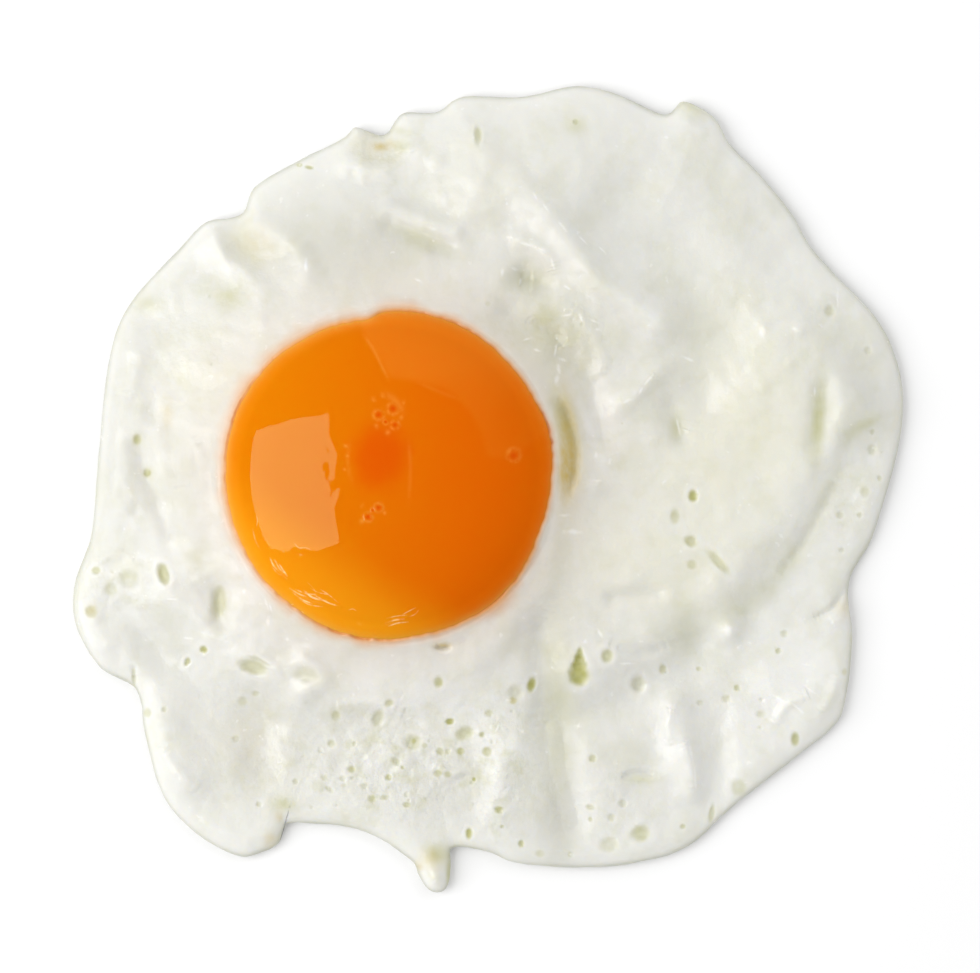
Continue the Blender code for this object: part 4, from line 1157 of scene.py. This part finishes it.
def finish_mesh(bm, name, material, collection):
    """Turns a bmesh in millimetres into an object in metres, smooth-shaded, with its material."""
    bmesh.ops.triangulate(bm, faces=bm.faces, quad_method="BEAUTY", ngon_method="BEAUTY")
    bmesh.ops.recalc_face_normals(bm, faces=bm.faces)
    bmesh.ops.scale(bm, vec=(MM, MM, MM), verts=bm.verts)
    if len(bm.faces) > MOST_TRIANGLES:
        raise RuntimeError(f"{name} has {len(bm.faces)} triangles, over {MOST_TRIANGLES}")
    mesh = bpy.data.meshes.new(name)
    bm.to_mesh(mesh)
    bm.free()
    mesh.shade_smooth()
    mesh.materials.append(material)
    obj = bpy.data.objects.new(name, mesh)
    collection.objects.link(obj)
    return obj


class Value:
    """A shader socket that takes part in Python arithmetic; each operator adds its Math node."""

    def __init__(self, finish, socket):
        self.finish, self.socket = finish, socket

    def math(self, operation, first, second=0.0, clamp=False):
        settings = {"operation": operation, "use_clamp": clamp}
        return self.finish.node("ShaderNodeMath", settings, {0: first, 1: second})

    def __add__(self, other):
        return self.math("ADD", self, other)

    def __radd__(self, other):
        return self.math("ADD", other, self)

    def __sub__(self, other):
        return self.math("SUBTRACT", self, other)

    def __rsub__(self, other):
        return self.math("SUBTRACT", other, self)

    def __mul__(self, other):
        return self.math("MULTIPLY", self, other)

    def __rmul__(self, other):
        return self.math("MULTIPLY", other, self)

    def __truediv__(self, other):
        return self.math("DIVIDE", self, other)

    def clamped(self):
        return self.math("ADD", self, 0.0, clamp=True)


class Finish:
    """A material in the making, with one Principled shader or a mix of two."""

    def __init__(self, name, **fixed):
        self.material = bpy.data.materials.new(name)
        self.material.use_nodes = True
        self.tree = self.material.node_tree
        self.shaders = [self.tree.nodes["Principled BSDF"]]
        self.fix(self.shaders[0], fixed)
        self.place = self.node("ShaderNodeTexCoord", {}, {}, "Object")

    def fix(self, shader, fixed):
        """Sets a shader's sockets, named with underscores for spaces, to fixed values."""
        for socket, value in fixed.items():
            shader.inputs[socket.replace("_", " ")].default_value = value

    def second_shader(self, share, **fixed):
        """Mixes in another Principled shader, which shares the varying inputs, by a share of 0 to 1."""
        other = self.tree.nodes.new("ShaderNodeBsdfPrincipled")
        self.fix(other, fixed)
        mixed = self.node("ShaderNodeMixShader", {}, {0: share, 1: Value(self, self.shaders[0].outputs[0]),
                                                      2: Value(self, other.outputs[0])})
        self.tree.links.new(mixed.socket, self.tree.nodes["Material Output"].inputs["Surface"])
        self.shaders.append(other)

    def node(self, kind, settings, inputs, output=0):
        """A node of a type, with its settings made first, then its sockets fed; gives one output."""
        made = self.tree.nodes.new(kind)
        for name, value in settings.items():
            setattr(made, name, value)
        for socket, value in inputs.items():
            self.feed(made.inputs[socket], value)
        return Value(self, made.outputs[output])

    def feed(self, socket, value):
        """Links a Value to a socket, or sets the socket to a plain value."""
        if isinstance(value, Value):
            self.tree.links.new(value.socket, socket)
        else:
            socket.default_value = value

    def mask(self, name):
        """A mask kept with the piece's own vertices."""
        return self.node("ShaderNodeAttribute", {"attribute_name": name}, {}, "Fac")

    def noise(self, size, detail, roughness=0.55):
        """Noise of 0 to 1 with lumps of the given size in mm."""
        inputs = {"Vector": self.place, "Scale": 1 / (size * MM), "Detail": detail, "Roughness": roughness}
        return self.node("ShaderNodeTexNoise", {}, inputs, "Fac")

    def mix(self, share, first, second):
        """A colour between two colours."""
        return self.node("ShaderNodeMix", {"data_type": "RGBA"}, {0: share, 6: first, 7: second}, 2)

    def between(self, value, low, high):
        """0 below low and 1 above high, with a smooth ramp between them."""
        settings = {"interpolation_type": "SMOOTHSTEP"}
        return self.node("ShaderNodeMapRange", settings, {0: value, 1: low, 2: high})

    def axis(self, name):
        """The X, Y or Z of the point in mm."""
        return self.node("ShaderNodeSeparateXYZ", {}, {0: self.place}, name) / MM

    def varies(self, **sockets):
        """Feeds the same inputs of every shader of the material."""
        for shader in self.shaders:
            for socket, value in sockets.items():
                self.feed(shader.inputs[socket.replace("_", " ")], value)

    def bump(self, height, distance):
        """Roughens every shader's normal by a height of 0 to 1 that stands for a distance in mm."""
        self.varies(Normal=self.node("ShaderNodeBump", {}, {"Height": height, "Distance": distance * MM}))


def yolk_ground(finish, settings):
    """The yolk's colour, with painted light: lighter towards the left, where the softbox lights it, and
    yellower and lighter at the lower left edge, where light passes through it.
    """
    across, up = finish.axis("X"), finish.axis("Y")
    cloud = finish.noise(*YOLK_CLOUD) - 0.5
    lit = finish.between(4.0 * cloud - across + YOLK_CENTRE[0], -16.0, 18.0)
    colour = finish.mix(lit, tuple(settings.painted_shaded_side_colour), tuple(settings.painted_lit_side_colour))
    down_left = 0.53 * (YOLK_CENTRE[0] - across) + 0.85 * (YOLK_CENTRE[1] - up)
    low = finish.between(down_left + 2.5 * cloud, 8.0, 18.5)
    return finish.mix(low, colour, tuple(settings.painted_lit_edge_colour))


def white_finish(settings, yolk_settings):
    """Cooked white: milky, a little see-through, wet in places, tinted in its hollows, with painted shade at
    its rim and in greyer places, painted light on whiter places, painted glints and sparkle, and the yolk's
    painted glow.
    """
    finish = Finish("egg_white_set", **WHITE_COAT, **WHITE_DEPTH)
    finish.second_shader(finish.mask("lapped"), **WHITE_COAT)
    cloud, patchy, grain = finish.noise(*CLOUD), finish.noise(*PATCHES), finish.noise(*GRAIN)
    colour = finish.mix(finish.mask("cream") * (0.5 + cloud), tuple(settings.set_colour),
                        tuple(settings.cream_colour))
    # Whiter white and painted light, from the whiter places, the bubbles' banks and some noise
    whiter_and_lit = finish.mask("bright") * (0.6 + 0.6 * cloud) + 0.22 * finish.between(patchy, 0.5, 0.64)
    colour = finish.mix(whiter_and_lit.clamped(), colour, tuple(settings.whiter_and_lit_colour))
    froth = finish.mask("froth")
    mottle = (0.3 * froth * finish.between(finish.noise(*FINE_MOTTLE), 0.5, 0.72)
              + 0.1 * finish.between(finish.noise(*BROAD_MOTTLE), 0.46, 0.66))
    # Painted sparkle: small white specks painted where the wet white would catch the light
    painted_sparkle = finish.between(finish.noise(*PAINTED_SPARKLE), 0.68, 0.76) * finish.between(patchy, 0.5, 0.62)
    # Layers: thin rim, painted shade, painted rim shade, hollows, brown, painted glints and sparkle, painted
    # yolk glow
    for share, tint in (
        (finish.mask("thin") * (0.5 + 0.9 * cloud), settings.thin_colour),
        (finish.mask("shade") * (0.6 + 0.8 * cloud), settings.painted_shade_colour),
        (finish.mask("painted_rim_shade") * (0.5 + 0.8 * cloud), settings.painted_rim_shade_colour),
        (finish.mask("olive") * (0.7 + 0.5 * grain) + mottle, settings.olive_colour),
        (finish.mask("brown") * (0.3 + 1.2 * grain), settings.brown_colour),
        (finish.mask("glints") * 0.5 + 0.3 * painted_sparkle, settings.painted_glint_colour),
        (finish.mask("painted_yolk_glow"), settings.painted_glow_colour),
    ):
        colour = finish.mix(share.clamped(), colour, tuple(tint))
    colour = finish.mix(finish.mask("yolky"), colour, yolk_ground(finish, yolk_settings))
    wet = finish.between(patchy, 0.42, 0.62)
    finish.varies(Base_Color=colour, Roughness=0.42 - 0.16 * wet + 0.08 * grain,
                  Coat_Weight=(0.15 + 0.5 * wet) * (1 - finish.mask("yolky")))
    finish.bump(finish.noise(*FINE_GRAIN) * (0.25 + froth) + 0.5 * grain, WHITE_BUMP)
    return finish.material


def yolk_finish(settings):
    """Yolk under its skin: deep orange and glossy, with painted light in its colour: a lighter left side, a
    paler sheen, bright glints and a paler glow at its edge.
    """
    finish = Finish("yolk_soft", IOR=1.4, Roughness=0.035, Specular_Tint=(0.55, 1.0, 0.6, 1), **YOLK_DEPTH)
    finish.second_shader(finish.mask("dull"), Specular_IOR_Level=0.0, Roughness=0.6, **YOLK_DEPTH)
    colour = yolk_ground(finish, settings)
    for mask, tint in (("germ", settings.germ_colour), ("sheen", settings.painted_sheen_colour),
                       ("painted_edge_glow", settings.painted_edge_glow_colour), ("marks", settings.mark_colour),
                       ("glints", settings.painted_glint_colour)):
        colour = finish.mix(finish.mask(mask), colour, tuple(tint))
    finish.varies(Base_Color=colour)
    finish.bump(finish.noise(*SKIN_GRAIN), YOLK_BUMP)
    return finish.material


def add_masks(obj, masks, members):
    """Keeps each mask with the object's vertices; members are the vertices that the masks are for."""
    for name, values in masks.items():
        whole = np.zeros(len(obj.data.vertices))
        whole[members] = values
        obj.data.attributes.new(name, "FLOAT", "POINT").data.foreach_set("value", whole)


class FRIEDEGG_OT_white(bpy.types.Operator):
    """Models the white with its folds, burst bubbles, froth and film"""

    bl_idname = "friedegg.white"
    bl_label = "Egg white"

    def execute(self, context):
        settings = context.scene.friedegg_white
        form = WhiteForm(settings)
        bm = bmesh.new()
        upper = bm.verts.layers.float.new("upper")
        extrude_rings(bm, white_rings(form), upper)
        split_long_edges(bm, form.longest_edge, upper)
        skin = [vert for vert in bm.verts if vert[upper] > ALL_UPPER]
        level, masks = form.survey(np.array([vert.co.xy for vert in skin]))
        for vert, height in zip(skin, level):
            vert.co.z = height
        bm.verts.index_update()
        members = np.array([vert.index for vert in skin])
        white = finish_mesh(bm, "egg_white_surface", white_finish(settings, context.scene.friedegg_yolk),
                            context.scene.collection)
        add_masks(white, masks, members)
        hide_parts("egg_white")
        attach(white, "root")
        return {"FINISHED"}


class FRIEDEGG_OT_yolk(bpy.types.Operator):
    """Models the yolk with the bubbles and creases of its skin"""

    bl_idname = "friedegg.yolk"
    bl_label = "Yolk"

    def execute(self, context):
        settings = context.scene.friedegg_yolk
        bm = bmesh.new()
        upper = bm.verts.layers.float.new("upper")
        bmesh.ops.create_uvsphere(bm, u_segments=YOLK_SEGMENTS, v_segments=YOLK_RINGS, radius=1)
        for vert in bm.verts:
            above = vert.co.z >= 0
            height = YOLK_TOP - YOLK_WIDEST_LEVEL if above else YOLK_WIDEST_LEVEL - YOLK_BOTTOM
            level = YOLK_WIDEST_LEVEL + vert.co.z * height
            reach = YOLK_RADIUS if above else float(yolk_reach(level)) / max(vert.co.xy.length, 1e-6)
            vert[upper] = float(above)
            vert.co = (YOLK_CENTRE[0] + vert.co.x * reach, YOLK_CENTRE[1] + vert.co.y * reach, level)
        split_long_edges(bm, self.longest_edge, upper)
        skin = [vert for vert in bm.verts if vert[upper] > ALL_UPPER]
        points = np.array([vert.co.xy for vert in skin])
        radius = bearing_and_radius(points)[1]
        calm = smooth_step((YOLK_RADIUS - radius) / CALM_RUN)
        level = np.maximum(dome_level(radius), YOLK_WIDEST_LEVEL) + calm * self.skin_relief(points, settings)
        for vert, z in zip(skin, level):
            vert.co.z = z
        bm.verts.index_update()
        members = np.array([vert.index for vert in skin])
        yolk = finish_mesh(bm, "yolk_surface", yolk_finish(settings), context.scene.collection)
        add_masks(yolk, self.skin_masks(points), members)
        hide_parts("yolk")
        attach(yolk, "root")
        return {"FINISHED"}

    def longest_edge(self, points):
        """The length that an edge may keep: short at the painted glints, bubbles and creases."""
        spots = [(plan(line), SKIN_GLINT_ZONE, SKIN_GLINT_EDGE) for line, *_ in SKIN_GLINTS]
        spots += [(plan((middle, middle)), 2 * radius * PLAN_STEP, SKIN_BUBBLE_EDGE)
                  for middle, radius in SKIN_BUBBLES]
        spots += [(plan(line), 3 * half_width, half_width / 2) for line, _, half_width in SKIN_CREASES]
        spots += [(plan(SHEEN), SHEEN_ZONE, SHEEN_EDGE)]
        return shortened_near(np.full(len(points), PLAIN_SKIN_EDGE), points, spots)

    def skin_masks(self, points):
        """The germ's redder spot, the painted sheen, the rings in the skin, the painted glints, the painted
        glow at the edge, and the dull edge.
        """
        wobble = 1 + GERM_WOBBLE * lumps(points, *GERM_LUMPS)
        germ = GERM_STRENGTH * np.exp(-(ellipse_share(points, *GERM) * wobble) ** 4)
        # Painted sheen: a paler patch standing in for a reflection of a light on the upper right
        sheen = smooth_step(Loop(plan(SHEEN)).depth(points) / SHEEN_BLUR + SHEEN_OUTSET)
        sheen = sheen * np.clip(SHEEN_CEILING - patches(points, SHEEN_FADE), 0, 1)
        marks, glints = np.zeros((2, len(points)))
        ragged = 0.7 + 0.9 * lumps(points, *RING_LUMPS)
        ring_strength, ring_middle, ring_width = MARK_RING
        pit_strength, pit_width = MARK_PIT
        for middle, size in SKIN_BUBBLES:
            share = ellipse_share(points, middle, size, size, 0)
            ring = np.exp(-((share - ring_middle) / ring_width) ** 2)
            marks = np.maximum(marks, ring_strength * ragged * ring)
            germ = np.maximum(germ, pit_strength * np.exp(-(share / pit_width) ** 2))
        for middle, size in SKIN_SPECKS:
            speck = np.exp(-ellipse_share(points, middle, size, size, 0) ** 2)
            marks = np.maximum(marks, SPECK_STRENGTH * speck)
        # Painted glints along the skin's creases, where they catch the light
        for line, strength, half_width in SKIN_GLINTS:
            glints = np.maximum(glints, stroke(points, plan(line), strength, half_width))
        glints *= np.clip(0.8 + 1.2 * lumps(points, *SKIN_GLINT_LUMPS), FAINTEST_SKIN_GLINT, 1)
        for line, strength, half_width in SKIN_VEINS:
            marks = np.maximum(marks, stroke(points, plan(line), strength, half_width))
        bearing, radius = bearing_and_radius(points)
        inward = at_bearing(EDGE_BY_DEGREE, bearing) - radius
        # Painted glow at the yolk's edge, as strong as the glow into the white at each bearing
        painted_edge_glow = FRINGE_SHARE * at_bearing(GLOW_BY_DEGREE, bearing) * np.exp(-np.abs(inward) / FRINGE_WIDTH)
        dull = smooth_step((radius / YOLK_RADIUS - DULL_FROM) / DULL_RAMP)
        return {"germ": germ, "sheen": SHEEN_STRENGTH * sheen, "marks": np.clip(marks, 0, 1),
                "glints": glints, "painted_edge_glow": painted_edge_glow, "dull": dull}

    def skin_relief(self, points, settings):
        """Height that the waves, bubbles and creases of the skin add."""
        height = in_mm(settings.waviness) * lumps(points, *SKIN_WAVES)
        height += in_mm(settings.raggedness) * patches(points, SKIN_RAGGED) * lumps(points, *RAGGED_WAVES)
        ring_middle, ring_width = RAISED_RING
        for middle, radius in SKIN_BUBBLES:
            share = ellipse_share(points, middle, radius, radius, 0)
            height += in_mm(settings.skin_bubble_height) * np.exp(-((share - ring_middle) / ring_width) ** 2)
        for line, amount, half_width in SKIN_CREASES:
            height += amount * np.exp(-(distance_to_line(points, plan(line)) / half_width) ** 2)
        return height


def aim(obj, target):
    """Turns a light or a camera towards a point."""
    obj.rotation_euler = (Vector(target) - obj.location).to_track_quat("-Z", "Y").to_euler()


def area_light(name, place, target, size, radiance, collection):
    """A rectangular light of a given radiance."""
    light = bpy.data.lights.new(name, "AREA")
    light.shape = "RECTANGLE"
    light.size, light.size_y = size
    light.energy = radiance * math.pi * size[0] * size[1]
    obj = bpy.data.objects.new(name, light)
    obj.location = place
    collection.objects.link(obj)
    aim(obj, target)
    return obj


class FRIEDEGG_OT_stage(bpy.types.Operator):
    """Sets the floor, the softbox, the fill panel, the room's light and the camera"""

    bl_idname = "friedegg.stage"
    bl_label = "Stage"

    def execute(self, context):
        settings = context.scene.friedegg_stage
        scene = context.scene
        bm = bmesh.new()
        bmesh.ops.create_grid(bm, x_segments=1, y_segments=1, size=FLOOR_REACH)
        bmesh.ops.translate(bm, vec=(0, 0, FLOOR_LEVEL), verts=bm.verts)
        floor_paint = Finish("floor_paint", Roughness=0.9, Specular_IOR_Level=0.0)
        lighter = tuple(min(channel * 1.02, 1) for channel in settings.floor_colour)
        floor_paint.varies(Base_Color=floor_paint.mix(
            floor_paint.noise(*FLOOR_CLOUD), tuple(settings.floor_colour), lighter))
        floor = finish_mesh(bm, "floor", floor_paint.material, scene.collection)
        yolk_place = Vector((YOLK_CENTRE[0] * MM, YOLK_CENTRE[1] * MM, YOLK_TOP * MM))
        area_light("softbox", yolk_place + Vector(SOFTBOX_OFFSET), yolk_place, SOFTBOX_SIZE,
                   settings.softbox_radiance, scene.collection)
        panel = area_light("fill_panel", Vector(PANEL_PLACE), yolk_place, PANEL_SIZE,
                           settings.panel_radiance, scene.collection)
        panel.visible_glossy = False
        world = bpy.data.worlds.new("room")
        world.use_nodes = True
        world.node_tree.nodes["Background"].inputs["Color"].default_value = (1, 1, 1, 1)
        world.node_tree.nodes["Background"].inputs["Strength"].default_value = settings.ambient
        world.cycles_visibility.glossy = False
        scene.world = world
        camera = bpy.data.objects.new("camera", bpy.data.cameras.new("camera"))
        camera.data.lens = settings.lens
        width = PLAN_SIZE[0] * PLAN_STEP * MM
        camera.location = (*(plan(PLAN_SIZE / 2) * MM), settings.lens / camera.data.sensor_width * width)
        scene.collection.objects.link(camera)
        scene.camera = camera
        scene.view_settings.view_transform = "Standard"
        return {"FINISHED"}


class FRIEDEGG_PT_sidebar(bpy.types.Panel):
    """The egg's settings and the operators that build it"""

    bl_idname = "FRIEDEGG_PT_sidebar"
    bl_label = "Fried Egg"
    bl_space_type = "VIEW_3D"
    bl_region_type = "UI"
    bl_category = "Fried Egg"

    def draw(self, context):
        groups = (("friedegg_white", FRIEDEGG_OT_white), ("friedegg_yolk", FRIEDEGG_OT_yolk),
                  ("friedegg_stage", FRIEDEGG_OT_stage))
        for group, operator in groups:
            settings = getattr(context.scene, group)
            column = self.layout.column(align=True)
            for name in settings.__annotations__:
                column.prop(settings, name)
            self.layout.operator(operator.bl_idname)


CLASSES = (WhiteSettings, YolkSettings, StageSettings, FRIEDEGG_OT_white, FRIEDEGG_OT_yolk,
           FRIEDEGG_OT_stage, FRIEDEGG_PT_sidebar)


def register():
    for cls in CLASSES:
        bpy.utils.register_class(cls)
    bpy.types.Scene.friedegg_white = bpy.props.PointerProperty(type=WhiteSettings)
    bpy.types.Scene.friedegg_yolk = bpy.props.PointerProperty(type=YolkSettings)
    bpy.types.Scene.friedegg_stage = bpy.props.PointerProperty(type=StageSettings)


def unregister():
    for name in ("friedegg_white", "friedegg_yolk", "friedegg_stage"):
        delattr(bpy.types.Scene, name)
    for cls in reversed(CLASSES):
        bpy.utils.unregister_class(cls)


def main():
    register()
    bpy.ops.friedegg.white()
    bpy.ops.friedegg.yolk()
    bpy.ops.friedegg.stage()


if __name__ == "__main__":
    main()
